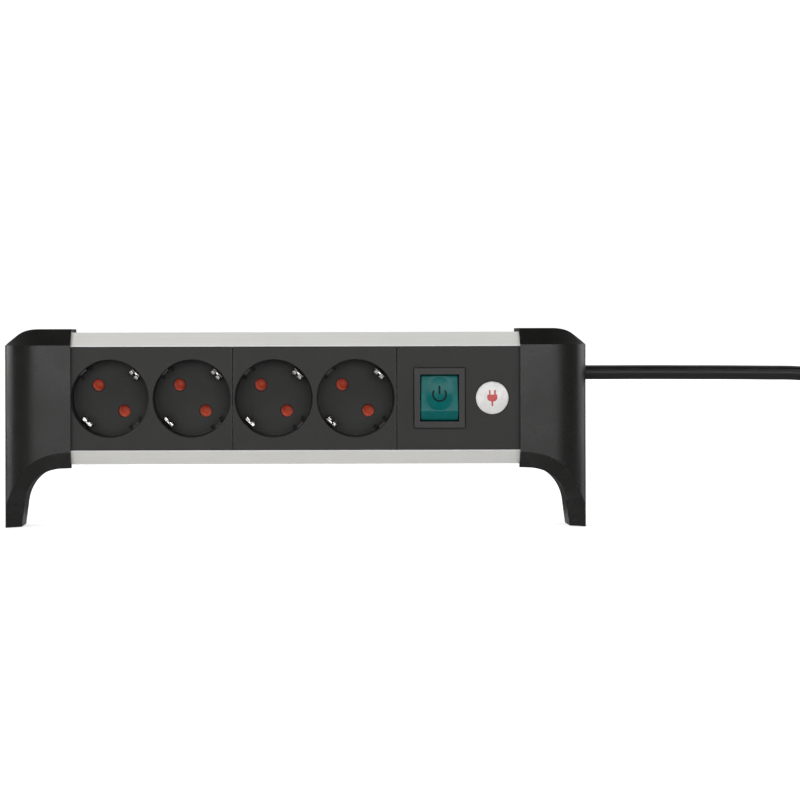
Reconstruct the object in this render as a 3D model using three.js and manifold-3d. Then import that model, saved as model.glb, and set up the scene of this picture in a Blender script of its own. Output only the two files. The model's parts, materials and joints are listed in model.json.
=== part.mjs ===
// Desk power strip with four earthed sockets and an illuminated rocker switch.
// Units are millimetres. X runs along the strip to the right, Y runs from the front to the back
// and Z is up. The origin is the centre of the strip's footprint, on the desk.

import * as THREE from 'three';
import { mergeVertices } from 'three/addons/utils/BufferGeometryUtils.js';
import Module from 'manifold-3d';

const wasm = await Module();
wasm.setup();

// ---------------------------------------------------------------- driving dimensions

const GAP = 0.3; // clearance between neighbouring pieces

// whole strip
const HALF_WIDTH = 150;
const HALF_DEPTH = 23;
const HEIGHT = 102.7;
const AXIS_Z = 66.9; // height of the centre line of the sockets
const FACE_Y = -21; // front of the black panel

// aluminium profile
const PROFILE_HALF_LENGTH = 128;
const PROFILE_FRONT = -21.15;
const PROFILE_BACK = 21.15;
const PROFILE_HALF_HEIGHT = 34;
const PROFILE_OPENING = 26.6; // half height of the open front
const PROFILE_WALL = 1.8;
const PROFILE_CHAMFER = 2;
const PORT = { y: 15.9, z: 21.5, outer: 3.8, inner: 2.05 }; // channels that take the cap screws

// end caps
const CAP_INNER_X = 115.3;
const CAP_TOP_EDGE = 94.25; // top of the flat front
const CAP_BEVEL = HEIGHT - CAP_TOP_EDGE;
const CAP_FLAT_TO = 127.7; // the front starts to curve back here
const CAP_CURVE_X = HALF_WIDTH - CAP_FLAT_TO;
const CAP_CURVE_Y = 14;
const CAP_BACK_RADIUS = 4;
const CAP_WALL = 2.8;
const CAP_POCKET_END = PROFILE_HALF_LENGTH + GAP;
const CAP_CAVITY = { bottom: 42, top: 91 };
const BOSS_RADIUS = 5.4;
const LEG_BOTTOM = 0.3; // the rubber foot stands this far out of the leg
const LEG_INNER_X = 142;
const ARCH_SETBACK = 10.5; // how far back the crease along the arch goes on the curved front

// socket wells, which sit on the diagonal of each square module
const SOCKET_X = [-95.3, -53.2, -11.1, 31];
const WELL_RADIUS = 19.85;
const WELL_WALL = 1;
const WELL_FLOOR = -3.65; // front face of the floor
const WELL_BACK = -1.65;
const PIN_OFFSET = 9.5 * Math.SQRT1_2; // pins are 19 apart
const PIN_HOLE = 3.15;
const CLIP_ANGLE = Math.PI / 4;
const RIB = { halfWidth: 2, inner: 18.7, outer: 20.6 };
const NOTCH = { across: 3.15, radius: 18.35, halfAcross: 1, halfRadius: 1.15, back: -1.95 };

// front modules, from left to right
const MODULES = { left: [-117, -32.3], middle: [-32, 51.9], right: [52.2, 117] };

// live parts behind the wells
const BASE = { front: 3.7, back: 10.4, halfHeight: 13.5 };
const BAR = { front: 10.7, back: 11.5, end: 57, start: -106 };

// rocker switch
const SWITCH_X = 73.95;
const ROCKER_PIVOT_Y = -15.6;
const BEZEL = { x: 12.9, z: 15.2, front: -21.95, back: -21.25 };
const SWITCH_BODY = { x: 11.6, z: 14, back: -8 };
const SWITCH_CAVITY = { x: 10, z: 13.1, lip: 12.1, front: -20.9 };
const TERMINAL_OFFSET = { x: 5, z: 7 };

// round badge
const BADGE = { x: 101, radius: 8.4 };

// mains lead
const CORD_RADIUS = 3.7;
const CORD_Y = 7;
const CORD_Z = 79.6;
const HANK = { start: 364, run: 100.6, fold: 22.4, layers: 5, bottom: 0.9 };
const TIE = { width: 16, thickness: 0.6 };
const PLUG = { x: 536, y: 7, radius: 18.5 };

// ---------------------------------------------------------------- solids from geometry

const signedVolume = (positions, corners) => {
  let sum = 0;
  for (let i = 0; i < corners.length; i += 3) {
    const [a, b, c] = [0, 1, 2].map((k) =>
      new THREE.Vector3().fromArray(positions, 3 * corners[i + k]),
    );
    sum += a.dot(b.cross(c)) / 6;
  }
  return sum;
};

/** Turns a closed geometry into a solid whose faces point out. */
function toSolid(geometry) {
  const bare = new THREE.BufferGeometry();
  bare.setAttribute('position', geometry.getAttribute('position'));
  bare.setIndex(geometry.index);
  const merged = mergeVertices(bare, 1e-4);
  const positions = new Float32Array(merged.getAttribute('position').array);
  const corners = [];
  for (let i = 0; i < merged.index.count; i += 3) {
    const [a, b, c] = [0, 1, 2].map((k) => merged.index.getX(i + k));
    if (a !== b && b !== c && c !== a) corners.push(a, b, c);
  }
  if (signedVolume(positions, corners) < 0) corners.reverse();
  return new wasm.Manifold(
    new wasm.Mesh({
      numProp: 3,
      vertProperties: positions,
      triVerts: new Uint32Array(corners),
    }),
  );
}

function toGeometry(solid) {
  const mesh = solid.getMesh();
  const indexed = new THREE.BufferGeometry();
  const positions = new Float32Array(mesh.vertProperties);
  indexed.setAttribute('position', new THREE.BufferAttribute(positions, 3));
  indexed.setIndex(new THREE.BufferAttribute(new Uint32Array(mesh.triVerts), 1));
  const geometry = indexed.toNonIndexed();
  geometry.computeVertexNormals();
  return geometry;
}

const X = new THREE.Vector3(1, 0, 0);
const Y = new THREE.Vector3(0, 1, 0);
const Z = new THREE.Vector3(0, 0, 1);
const EXTRUDED = {
  x: new THREE.Matrix4().makeBasis(Y, Z, X),
  y: new THREE.Matrix4().makeBasis(X, Z, Y.clone().negate()),
  z: new THREE.Matrix4(),
};
const REVOLVED = {
  x: new THREE.Matrix4().makeBasis(Y, X, Z.clone().negate()),
  y: new THREE.Matrix4(),
};

/** An outline swept along an axis. Its two numbers are the other two axes, in X, Y, Z order. */
function prism(axis, outline, from, to) {
  const shape = new THREE.Shape(outline.map(([u, v]) => new THREE.Vector2(u, v)));
  const geometry = new THREE.ExtrudeGeometry(shape, { depth: to - from, bevelEnabled: false });
  geometry.applyMatrix4(EXTRUDED[axis]);
  const start = axis === 'y' ? to : from;
  geometry.translate(axis === 'x' ? start : 0, axis === 'y' ? start : 0, axis === 'z' ? start : 0);
  return toSolid(geometry);
}

/** A profile of [radius, distance along the axis] turned about an axis through a point. */
function turned(axis, profile, centre, segments = 24) {
  const points = profile.map(([radius, along]) => new THREE.Vector2(radius, along));
  const geometry = new THREE.LatheGeometry(points, segments);
  geometry.applyMatrix4(REVOLVED[axis]);
  geometry.translate(...centre);
  return toSolid(geometry);
}

/** A ruled solid through rings of points, which all have the same number of points. */
function loft(rings) {
  const count = rings[0].length;
  const corners = [];
  rings.slice(1).forEach((ring, r) => {
    for (let i = 0; i < count; i += 1) {
      const a = r * count + i;
      const b = r * count + ((i + 1) % count);
      corners.push(a, b, a + count, b, b + count, a + count);
    }
  });
  const last = (rings.length - 1) * count;
  for (let i = 1; i < count - 1; i += 1) {
    corners.push(0, i + 1, i, last, last + i, last + i + 1);
  }
  const geometry = new THREE.BufferGeometry();
  const positions = new Float32Array(rings.flat(2));
  geometry.setAttribute('position', new THREE.BufferAttribute(positions, 3));
  geometry.setIndex(corners);
  return toSolid(geometry);
}

/** A round wire or cord along a smooth curve through points. */
function tube(points, radius, sides, steps) {
  const path = new THREE.CatmullRomCurve3(
    points.map((point) => new THREE.Vector3(...point)),
    false,
    'centripetal',
  );
  const section = new THREE.Shape(
    circle(0, 0, radius, sides).map(([u, v]) => new THREE.Vector2(u, v)),
  );
  return toSolid(new THREE.ExtrudeGeometry(section, { steps, extrudePath: path }));
}

function mirrored(solid) {
  const geometry = toGeometry(solid);
  geometry.scale(-1, 1, 1);
  return toSolid(mergeVertices(geometry.deleteAttribute('normal')));
}

// ---------------------------------------------------------------- outlines

function circle(u, v, radius, segments) {
  return Array.from({ length: segments }, (_, i) => {
    const angle = (2 * Math.PI * (i + 0.5)) / segments;
    return [u + radius * Math.cos(angle), v + radius * Math.sin(angle)];
  });
}

const rectangle = (u0, v0, u1, v1) => [
  [u0, v0],
  [u1, v0],
  [u1, v1],
  [u0, v1],
];

const centred = (u, v, halfU, halfV) => rectangle(u - halfU, v - halfV, u + halfU, v + halfV);

/** Two half circles of the same radius, joined by straight sides. */
function stadium(u0, u1, v, radius, segments) {
  const points = [];
  for (let i = 0; i <= segments; i += 1) {
    const angle = -Math.PI / 2 + (Math.PI * i) / segments;
    points.push([u1 + radius * Math.cos(angle), v + radius * Math.sin(angle)]);
  }
  for (let i = 0; i <= segments; i += 1) {
    const angle = Math.PI / 2 + (Math.PI * i) / segments;
    points.push([u0 + radius * Math.cos(angle), v + radius * Math.sin(angle)]);
  }
  return points;
}

const turnedBy = (outline, angle) =>
  outline.map(([u, v]) => [
    u * Math.cos(angle) - v * Math.sin(angle),
    u * Math.sin(angle) + v * Math.cos(angle),
  ]);

const shifted = (outline, du, dv) => outline.map(([u, v]) => [u + du, v + dv]);

const cylinder = (axis, u, v, radius, from, to, segments = 16) =>
  prism(axis, circle(u, v, radius, segments), from, to);

const block = (x0, y0, z0, x1, y1, z1) => prism('z', rectangle(x0, y0, x1, y1), z0, z1);

// ---------------------------------------------------------------- the model

const model = new THREE.Group();

const MATERIALS = {
  aluminium: { color: 0xc8c5c1, roughness: 0.35, metalness: 0.9 },
  blackPlastic: { color: 0x2c2d2d, roughness: 0.55, metalness: 0 },
  panelPlastic: { color: 0x363636, roughness: 0.6, metalness: 0 },
  orangePlastic: { color: 0xd8462e, roughness: 0.4, metalness: 0 },
  greenPlastic: { color: 0x0c6a66, roughness: 0.2, metalness: 0 },
  palePlastic: { color: 0xd9d6cc, roughness: 0.6, metalness: 0 },
  rubber: { color: 0x1d1d1d, roughness: 0.85, metalness: 0 },
  cordRubber: { color: 0x1b1b1c, roughness: 0.5, metalness: 0 },
  nickel: { color: 0xd0cdc8, roughness: 0.2, metalness: 1 },
  brass: { color: 0xc9a24a, roughness: 0.3, metalness: 1 },
  steel: { color: 0x9a9b9d, roughness: 0.35, metalness: 1 },
  badge: { color: 0xe6e4e0, roughness: 0.25, metalness: 0.3 },
  glass: { color: 0xe0a080, roughness: 0.1, metalness: 0 },
  brownWire: { color: 0x5b3a20, roughness: 0.5, metalness: 0 },
  blueWire: { color: 0x2a5aa8, roughness: 0.5, metalness: 0 },
  greenWire: { color: 0x6b9a2c, roughness: 0.5, metalness: 0 },
  strap: { color: 0x242424, roughness: 0.9, metalness: 0 },
};

function add(name, look, solid) {
  const mesh = new THREE.Mesh(
    toGeometry(solid),
    new THREE.MeshStandardMaterial(MATERIALS[look]),
  );
  mesh.name = name;
  model.add(mesh);
}

// ---------------------------------------------------------------- aluminium profile

/** The outside of the profile's section, grown by a margin, as [y, z] points. */
function profileOutline(margin) {
  const bevelSlack = margin * Math.tan(Math.PI / 8);
  const front = PROFILE_FRONT - margin;
  const back = PROFILE_BACK + margin;
  const opening = PROFILE_OPENING + bevelSlack;
  const top = PROFILE_HALF_HEIGHT + margin;
  const shoulder = PROFILE_FRONT + (PROFILE_HALF_HEIGHT - PROFILE_OPENING) - bevelSlack;
  const chamfer = PROFILE_CHAMFER + bevelSlack;
  const upper = [
    [front, opening],
    [shoulder, top],
    [back - chamfer, top],
    [back, top - chamfer],
  ];
  const lower = upper.map(([y, z]) => [y, -z]).reverse();
  return shifted([...upper, ...lower], 0, AXIS_Z);
}

function aluminiumProfile() {
  const length = [-PROFILE_HALF_LENGTH, PROFILE_HALF_LENGTH];
  const opening = centred(PROFILE_FRONT, AXIS_Z, 6, PROFILE_OPENING);
  let solid = prism('x', profileOutline(0), ...length)
    .subtract(prism('x', profileOutline(-PROFILE_WALL), -HALF_WIDTH, HALF_WIDTH))
    .subtract(prism('x', opening, -HALF_WIDTH, HALF_WIDTH));
  for (const side of [-1, 1]) {
    const z = AXIS_Z + side * PORT.z;
    const mouth = rectangle(PORT.y - 6, z - 0.8, PORT.y, z + 0.8);
    solid = solid
      .add(cylinder('x', PORT.y, z, PORT.outer, ...length, 16))
      .subtract(cylinder('x', PORT.y, z, PORT.inner, -HALF_WIDTH, HALF_WIDTH, 12))
      .subtract(prism('x', mouth, -HALF_WIDTH, HALF_WIDTH));
  }
  return solid;
}

// ---------------------------------------------------------------- end caps (the right one)

/** Depth of a quarter ellipse that starts at x = start, is run wide and reach deep. */
function setback(x, start, run, reach) {
  const part = THREE.MathUtils.clamp((x - start) / run, 0, 1);
  return reach * (1 - Math.sqrt(1 - part * part));
}

/** How far the front face has curved back at a distance x from the middle of the strip. */
const frontSetback = (x) => setback(x, CAP_FLAT_TO, CAP_CURVE_X, CAP_CURVE_Y);

const backSetback = (x) =>
  setback(x, HALF_WIDTH - CAP_BACK_RADIUS, CAP_BACK_RADIUS, CAP_BACK_RADIUS);

/** Distances from the middle at which the curved front is sampled. */
function capStations() {
  const curve = Array.from({ length: 9 }, (_, i) => {
    const angle = (Math.PI / 2) * (i / 8);
    return CAP_FLAT_TO + CAP_CURVE_X * Math.sin(angle);
  });
  return [CAP_INNER_X, ...curve];
}

function capShell() {
  const rings = capStations().map((x) => {
    const front = -HALF_DEPTH + frontSetback(x);
    const back = HALF_DEPTH - backSetback(x);
    return [
      [x, front, -5],
      [x, front, CAP_TOP_EDGE],
      [x, front + CAP_BEVEL, HEIGHT],
      [x, back - 2, HEIGHT],
      [x, back, HEIGHT - 2],
      [x, back, -5],
    ];
  });
  return loft(rings);
}

const bezier = (points, divisions) =>
  new THREE.CubicBezierCurve(...points.map(([u, v]) => new THREE.Vector2(u, v)))
    .getSpacedPoints(divisions)
    .map((point) => [point.x, point.y]);

const ARCH_STEPS = 9;
// lower edge of the front face, from the inner end to the outer wall
const CREASE = bezier(
  [[CAP_INNER_X, 39.4], [139.4, 38.9], [143.4, 25.9], [HALF_WIDTH, 10.8]],
  ARCH_STEPS,
);
// underside of the cap and inside of the leg
const ARCH = [
  [CAP_INNER_X, 31],
  ...bezier([[121.5, 30.7], [132.5, 29.8], [139.2, 22], [140.4, 12.5]], ARCH_STEPS - 1),
];

/** The cap seen from the front, which runs through its whole depth. */
function capFrontOutline() {
  const shoulder = bezier([[132, HEIGHT], [136.5, HEIGHT], [140, 101.9], [142.6, 100]], 4);
  return [
    [CAP_INNER_X - 2, HEIGHT + 2],
    [126, HEIGHT + 2],
    ...shoulder,
    [HALF_WIDTH, 94.1],
    [HALF_WIDTH + 2, 92.5],
    [HALF_WIDTH + 2, LEG_BOTTOM],
    [LEG_INNER_X, LEG_BOTTOM],
    ...[...ARCH].reverse(),
    [CAP_INNER_X - 2, ARCH[0][1]],
  ];
}

/** The wedge that the 45 degree bevel along the arch takes off the front of the cap. */
function archBevel() {
  const outer = [[CAP_INNER_X - 3, CREASE[0][1]], ...CREASE, [HALF_WIDTH, 0], [HALF_WIDTH, -4]];
  const inner = [[CAP_INNER_X - 3, ARCH[0][1]], ...ARCH, [LEG_INNER_X, 0], [LEG_INNER_X, -4]];
  const rings = outer.map(([x, z], i) => {
    const across = [inner[i][0] - x, inner[i][1] - z];
    const width = Math.hypot(...across);
    const step = across.map((value) => value / width);
    const depth = -HALF_DEPTH + Math.min(ARCH_SETBACK, frontSetback(x));
    const out = [x - 3 * step[0], z - 3 * step[1]];
    const past = [x + (width + 2) * step[0], z + (width + 2) * step[1]];
    return [
      [out[0], depth - 3, out[1]],
      [past[0], depth + width + 2, past[1]],
      [past[0], -HALF_DEPTH - 9, past[1]],
      [out[0], -HALF_DEPTH - 9, out[1]],
    ];
  });
  return loft(rings);
}

function capCavity() {
  const stations = [CAP_POCKET_END - 0.5, ...capStations().filter((x) => x > 130 && x < 147), 147.2];
  const rings = stations.map((x) => {
    const front = -HALF_DEPTH + frontSetback(x) + CAP_WALL;
    const back = HALF_DEPTH - CAP_WALL;
    return [
      [x, front, CAP_CAVITY.bottom],
      [x, front, CAP_CAVITY.top],
      [x, back, CAP_CAVITY.top],
      [x, back, CAP_CAVITY.bottom],
    ];
  });
  return loft(rings);
}

/** Opens the cap's underside behind its front edge, so that the profile lies bare there. */
const undersideRelief = () => block(CAP_INNER_X - 1, -13.2, 30, 118.5, HALF_DEPTH + 1, 33.2);

/** The rubber foot's outline in plan, inside the leg's sole by a margin. */
function footOutline(margin) {
  const corner = margin * Math.tan(Math.PI / 8);
  return [
    [HALF_WIDTH - margin, -HALF_DEPTH + CAP_CURVE_Y + margin + 2 * corner],
    [HALF_WIDTH - margin, HALF_DEPTH - CAP_BACK_RADIUS],
    [LEG_INNER_X + margin, HALF_DEPTH - CAP_BACK_RADIUS],
    [LEG_INNER_X + margin, -HALF_DEPTH + CAP_CURVE_Y + 8 + corner],
  ];
}

function plainCap() {
  let solid = capShell()
    .intersect(prism('y', capFrontOutline(), -HALF_DEPTH - 5, HALF_DEPTH + 5))
    .subtract(archBevel())
    .subtract(prism('x', profileOutline(GAP), CAP_INNER_X - 2, CAP_POCKET_END))
    .subtract(capCavity())
    .subtract(undersideRelief())
    .subtract(prism('z', footOutline(1.2), -1, LEG_BOTTOM + 1));
  for (const side of [-1, 1]) {
    const z = AXIS_Z + side * PORT.z;
    solid = solid
      .add(cylinder('x', PORT.y, z, BOSS_RADIUS, CAP_POCKET_END, 148, 20))
      .subtract(cylinder('x', PORT.y, z, 2.1, 120, HALF_WIDTH + 1, 12))
      .subtract(cylinder('x', PORT.y, z, 4, 146.9, HALF_WIDTH + 1, 20));
  }
  return solid;
}

const CLAMP = { x: 134, spread: 8.4, front: 0, back: 2.2 };

/** The right cap also holds the lead, with two posts for its clamp. The upper one ends on a boss. */
function cordCap() {
  let solid = plainCap();
  for (const side of [-1, 1]) {
    const z = CORD_Z + side * CLAMP.spread;
    const end = side > 0 ? 12.5 : 21;
    solid = solid
      .add(cylinder('y', CLAMP.x, z, 3.2, CLAMP.back + GAP, end, 14))
      .subtract(cylinder('y', CLAMP.x, z, 1.6, 0, 12, 10));
  }
  return solid.subtract(cylinder('x', CORD_Y, CORD_Z, 6, 146, HALF_WIDTH + 1, 20));
}

function capScrew(y, z) {
  const profile = [
    [0, 113.5],
    [1.75, 115.5],
    [1.75, 147.2],
    [3.6, 147.2],
    [3.6, 148.4],
    [2.4, 149.4],
    [0, 149.4],
  ];
  const slot = block(148.3, y - 2, z - 0.4, 151, y + 2, z + 0.4);
  const crossing = block(148.3, y - 0.4, z - 2, 151, y + 0.4, z + 2);
  return turned('x', profile, [0, y, z], 16).subtract(slot).subtract(crossing);
}

const foot = () => prism('z', footOutline(1.2 + GAP), 0, LEG_BOTTOM + 1 - GAP);

// ---------------------------------------------------------------- front modules

/** Channel section of a front module, with flanges that hook behind the profile's lips. */
function moduleBody([from, to]) {
  const upper = [
    [FACE_Y, 26.3],
    [-16.2, 26.3],
    [-16.2, 28.3],
    [-14.2, 28.3],
    [-14.2, 24],
    [-18.5, 24],
  ];
  const lower = upper.map(([y, z]) => [y, -z]).reverse();
  return prism('x', shifted([...upper, ...lower], 0, AXIS_Z), from, to);
}

/** Adds a socket well at x: a round cup with pin holes, clip slots and two guide ribs in notches. */
function withWell(solid, x) {
  const place = (outline) => shifted(outline, x, AXIS_Z);
  const cupOuter = cylinder('y', x, AXIS_Z, WELL_RADIUS + WELL_WALL, FACE_Y + 0.5, WELL_BACK, 48);
  const cupInner = cylinder('y', x, AXIS_Z, WELL_RADIUS, FACE_Y - 2, WELL_FLOOR, 48);
  const pivot = cylinder('y', x, AXIS_Z, 1.3, WELL_BACK - 1, 2.2, 10);
  let cup = solid.add(cupOuter).subtract(cupInner).add(pivot);
  for (const side of [-1, 1]) {
    const ribMiddle = side * (RIB.inner + RIB.outer) / 2;
    const ribHalf = (RIB.outer - RIB.inner) / 2;
    const rib = turnedBy(centred(0, ribMiddle, RIB.halfWidth, ribHalf), CLIP_ANGLE);
    const slot = turnedBy(centred(side * 17.95, 0, 0.75, 3.2), CLIP_ANGLE);
    cup = cup
      .add(prism('y', place(rib), FACE_Y + 0.8, WELL_FLOOR + 0.5))
      .subtract(prism('y', place(slot), WELL_FLOOR - 1, WELL_BACK + 1))
      .subtract(
        cylinder('y', x + side * PIN_OFFSET, AXIS_Z - side * PIN_OFFSET, PIN_HOLE, -5, -1, 16),
      );
    for (const end of [-1, 1]) {
      const { across, radius, halfAcross, halfRadius, back } = NOTCH;
      const notch = centred(end * across, side * radius, halfAcross, halfRadius);
      cup = cup.subtract(prism('y', place(turnedBy(notch, CLIP_ANGLE)), WELL_FLOOR - 0.5, back));
    }
  }
  return cup;
}

const socketInsert = (span, centres) => centres.reduce(withWell, moduleBody(span));

const switchPanel = () =>
  moduleBody(MODULES.right)
    .subtract(prism('y', centred(SWITCH_X, AXIS_Z, 11.9, 14.3), -25, -10))
    .subtract(cylinder('y', BADGE.x, AXIS_Z, BADGE.radius + GAP, -25, FACE_Y + 0.8, 32));

// ---------------------------------------------------------------- inside the sockets

/** Turns over the two pin holes; its lobes uncover them when a plug pushes in. */
function shutter(x) {
  const lobes = turnedBy(stadium(-9.5, 9.5, 0, 4.2, 8), -CLIP_ANGLE);
  return prism('y', shifted(lobes, x, AXIS_Z), -1.35, 0.85).subtract(
    cylinder('y', x, AXIS_Z, 1.6, -3, 3, 12),
  );
}

function shutterSpring(x) {
  const loop = Array.from({ length: 9 }, (_, i) => {
    const angle = Math.PI * (0.25 + (1.5 * i) / 8);
    return [x + 2.4 * Math.cos(angle), 1.75, AXIS_Z + 2.4 * Math.sin(angle)];
  });
  const leg = [x + 7.2, 1.75, AXIS_Z - 4.2];
  return tube([...loop, [x + 2.6, 1.75, AXIS_Z - 3], leg], 0.3, 6, 20);
}

/** A nickel strip across the socket whose sprung fingers reach forward along the wall. */
function earthClip(x) {
  const half = [
    [18.2, 3.3],
    [18.2, -5.6],
    [15.7, -10.4],
    [16.05, -11.7],
    [17, -12.65],
    [17.94, -12.97],
    [17.85, -13.57],
    [16.7, -13.17],
    [15.53, -12],
    [15.1, -10.4],
    [17.6, -5.5],
    [17.6, 2.7],
  ];
  const other = half.map(([u, y]) => [-u, y]).reverse();
  const strip = prism('z', [...half, ...other], -2.8, 2.8);
  const slit = block(-20, -17, -0.7, 20, -5.5, 0.7);
  const geometry = toGeometry(strip.subtract(slit));
  geometry.rotateY(-CLIP_ANGLE);
  geometry.translate(x, 0, AXIS_Z);
  return toSolid(mergeVertices(geometry.deleteAttribute('normal')));
}

/** The block that keeps the contact sleeves of two sockets in place. */
function contactBase(centres) {
  const ends = [centres[0] - 17, centres[1] + 17];
  const { front, back, halfHeight } = BASE;
  const body = block(ends[0], front, AXIS_Z - halfHeight, ends[1], back, AXIS_Z + halfHeight);
  return centres.reduce((solid, x) => {
    const post = prism('y', centred(x, AXIS_Z, 1.9, 1.9), 0, 15);
    const sleeves = [-1, 1].map((side) =>
      cylinder('y', x + side * PIN_OFFSET, AXIS_Z - side * PIN_OFFSET, 3.7, 0, 15, 14),
    );
    return solid.subtract(post).subtract(sleeves[0]).subtract(sleeves[1]);
  }, body);
}

/** A brass bar behind the bases with a slit sleeve for one pin of each socket. */
function pinBar(side) {
  const z = AXIS_Z - side * PIN_OFFSET;
  let bar = block(BAR.start, BAR.front, z - 2.6, BAR.end, BAR.back, z + 2.6);
  for (const centre of SOCKET_X) {
    const x = centre + side * PIN_OFFSET;
    bar = bar
      .add(cylinder('y', x, z, 3.3, 4.2, BAR.back, 14))
      .subtract(cylinder('y', x, z, 2.55, 0, 15, 14))
      .subtract(block(x - 0.4, 0, z, x + 0.4, BAR.front - 1.5, z + 5));
  }
  return bar;
}

function earthBar() {
  const start = SOCKET_X[0] - 2.5;
  const bar = block(start, BAR.front, AXIS_Z - 2.2, BAR.end, BAR.back, AXIS_Z + 2.2);
  return SOCKET_X.reduce(
    (solid, x) => solid.add(prism('y', centred(x, AXIS_Z, 1.5, 1.5), 3.6, BAR.back)),
    bar,
  );
}

// ---------------------------------------------------------------- rocker switch

function switchFrame() {
  const { x, z, lip, front } = SWITCH_CAVITY;
  const at = (halfX, halfZ) => centred(SWITCH_X, AXIS_Z, halfX, halfZ);
  return prism('y', at(BEZEL.x, BEZEL.z), BEZEL.front, BEZEL.back)
    .add(prism('y', at(SWITCH_BODY.x, SWITCH_BODY.z), BEZEL.front + 0.2, SWITCH_BODY.back))
    .subtract(prism('y', at(x, lip), -25, 0))
    .subtract(prism('y', at(x, z), front, 0))
    .subtract(cylinder('x', ROCKER_PIVOT_Y, AXIS_Z, 1.7, SWITCH_X - 15, SWITCH_X + 15, 16));
}

/** Stands with its top pressed in; turning about its trunnions brings the top out. */
function rocker() {
  const side = [
    [-4.8, 11.8],
    [-7.3, -6.8],
    [-5, -11.8],
    [-2.4, -12.55],
    [-2.4, -9.5],
    [1.5, -4],
    [1.5, 4],
    [-2.4, 9.5],
    [-2.4, 12.5],
  ];
  const halfWidth = 9.7;
  const placed = shifted(side, ROCKER_PIVOT_Y, AXIS_Z);
  const pocket = centred(SWITCH_X, AXIS_Z, 7.5, 5.5);
  return prism('x', placed, SWITCH_X - halfWidth, SWITCH_X + halfWidth)
    .add(cylinder('x', ROCKER_PIVOT_Y, AXIS_Z, 1.3, SWITCH_X - 11.1, SWITCH_X + 11.1, 16))
    .subtract(prism('y', pocket, ROCKER_PIVOT_Y - 4, 0));
}

function switchBase() {
  const plate = centred(SWITCH_X, AXIS_Z, SWITCH_BODY.x, SWITCH_BODY.z);
  const back = SWITCH_BODY.back + GAP;
  return eachTerminal().reduce(
    (solid, [x, z]) => solid.subtract(prism('y', centred(x, z, 0.7, 2.7), -15, 0)),
    prism('y', plate, back, back + 2),
  );
}

const eachTerminal = () =>
  [-1, 1].flatMap((sideX) =>
    [-1, 1].map((sideZ) => [
      SWITCH_X + sideX * TERMINAL_OFFSET.x,
      AXIS_Z + sideZ * TERMINAL_OFFSET.z,
    ]),
  );

const terminal = (x, z) => prism('y', centred(x, z, 0.4, 2.4), -9.6, 3);

/** A small neon tube on its leads, between the rocker's trunnions. */
const lamp = () =>
  prism('z', circle(SWITCH_X, ROCKER_PIVOT_Y - 1, 1.5, 12), AXIS_Z - 3, AXIS_Z + 3).add(
    block(SWITCH_X - 0.5, ROCKER_PIVOT_Y, AXIS_Z - 0.8, SWITCH_X + 0.5, -8, AXIS_Z + 0.8),
  );

function badge() {
  const profile = [
    [0, FACE_Y + 0.5],
    [BADGE.radius, FACE_Y + 0.5],
    [BADGE.radius, FACE_Y - 0.1],
    [BADGE.radius - 0.5, FACE_Y - 0.35],
    [BADGE.radius / 2, FACE_Y - 0.6],
    [0, FACE_Y - 0.7],
  ];
  return turned('y', profile, [BADGE.x, 0, AXIS_Z], 32);
}

// ---------------------------------------------------------------- lead inside the right cap

/** Tapered sleeve round the cores, with a shoulder that bears on the inside of the cap. */
function strainRelief() {
  const profile = [
    [2.9, 129],
    [4.2, 129],
    [4.4, 138],
    [5.4, 144.2],
    [6.7, 144.2],
    [6.7, 146.8],
    [5.6, 146.8],
    [5.6, 149.9],
    [2.9, 149.9],
    [2.9, 129],
  ];
  return turned('x', profile, [0, CORD_Y, CORD_Z], 16);
}

function clampBar() {
  const bar = block(131, CLAMP.front, CORD_Z - 11.1, 137, CLAMP.back, CORD_Z + 11.1);
  return [-1, 1].reduce(
    (solid, side) =>
      solid.subtract(cylinder('y', CLAMP.x, CORD_Z + side * CLAMP.spread, 1.6, -5, 5, 12)),
    bar,
  );
}

function clampScrew(side) {
  const profile = [
    [0, -1.9],
    [2, -1.9],
    [2.6, -1.3],
    [2.6, -0.3],
    [1.2, -0.3],
    [1.2, 10],
    [0, 11.5],
  ];
  return turned('y', profile, [CLAMP.x, 0, CORD_Z + side * CLAMP.spread], 12);
}

const wire = (points) => tube(points, 1.1, 6, 14);

function addWires() {
  const [left, right] = [SWITCH_X - TERMINAL_OFFSET.x, SWITCH_X + TERMINAL_OFFSET.x];
  const [low, high] = [AXIS_Z - TERMINAL_OFFSET.z, AXIS_Z + TERMINAL_OFFSET.z];
  const [upperBar, lowerBar] = [AXIS_Z + PIN_OFFSET, AXIS_Z - PIN_OFFSET];
  const barY = (BAR.front + BAR.back) / 2;
  const lineIn = [[128.6, 6, 81], [112, 7, 80], [94, 9, 78], [82, 10, 75]];
  const neutralIn = [[128.6, 5.6, 78], [112, 6, 73], [94, 8, 64], [82, 10, 60.5]];
  add('line_in_wire', 'brownWire', wire([...lineIn, [right, 6, high], [right, 3.3, high]]));
  add('neutral_in_wire', 'blueWire', wire([...neutralIn, [right, 6, low], [right, 3.3, low]]));
  const outward = (z, end) => [
    [left, 3.3, z],
    [left, 6, z],
    [left - 4, 10, (z + end) / 2],
    [BAR.end + 5, barY, end],
    [BAR.end + 0.3, barY, end],
  ];
  add('line_out_wire', 'brownWire', wire(outward(high, upperBar)));
  add('neutral_out_wire', 'blueWire', wire(outward(low, lowerBar)));
  const earth = [[128.6, 8.6, 79.4], [112, 12, 76], [94, 14.5, 70], [76, 14.5, 67.4]];
  const earthEnd = [[BAR.end + 6, barY + 0.4, AXIS_Z], [BAR.end + 0.3, barY, AXIS_Z]];
  add('earth_wire', 'greenWire', wire([...earth, ...earthEnd]));
}

// ---------------------------------------------------------------- free lead, hank and plug

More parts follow.
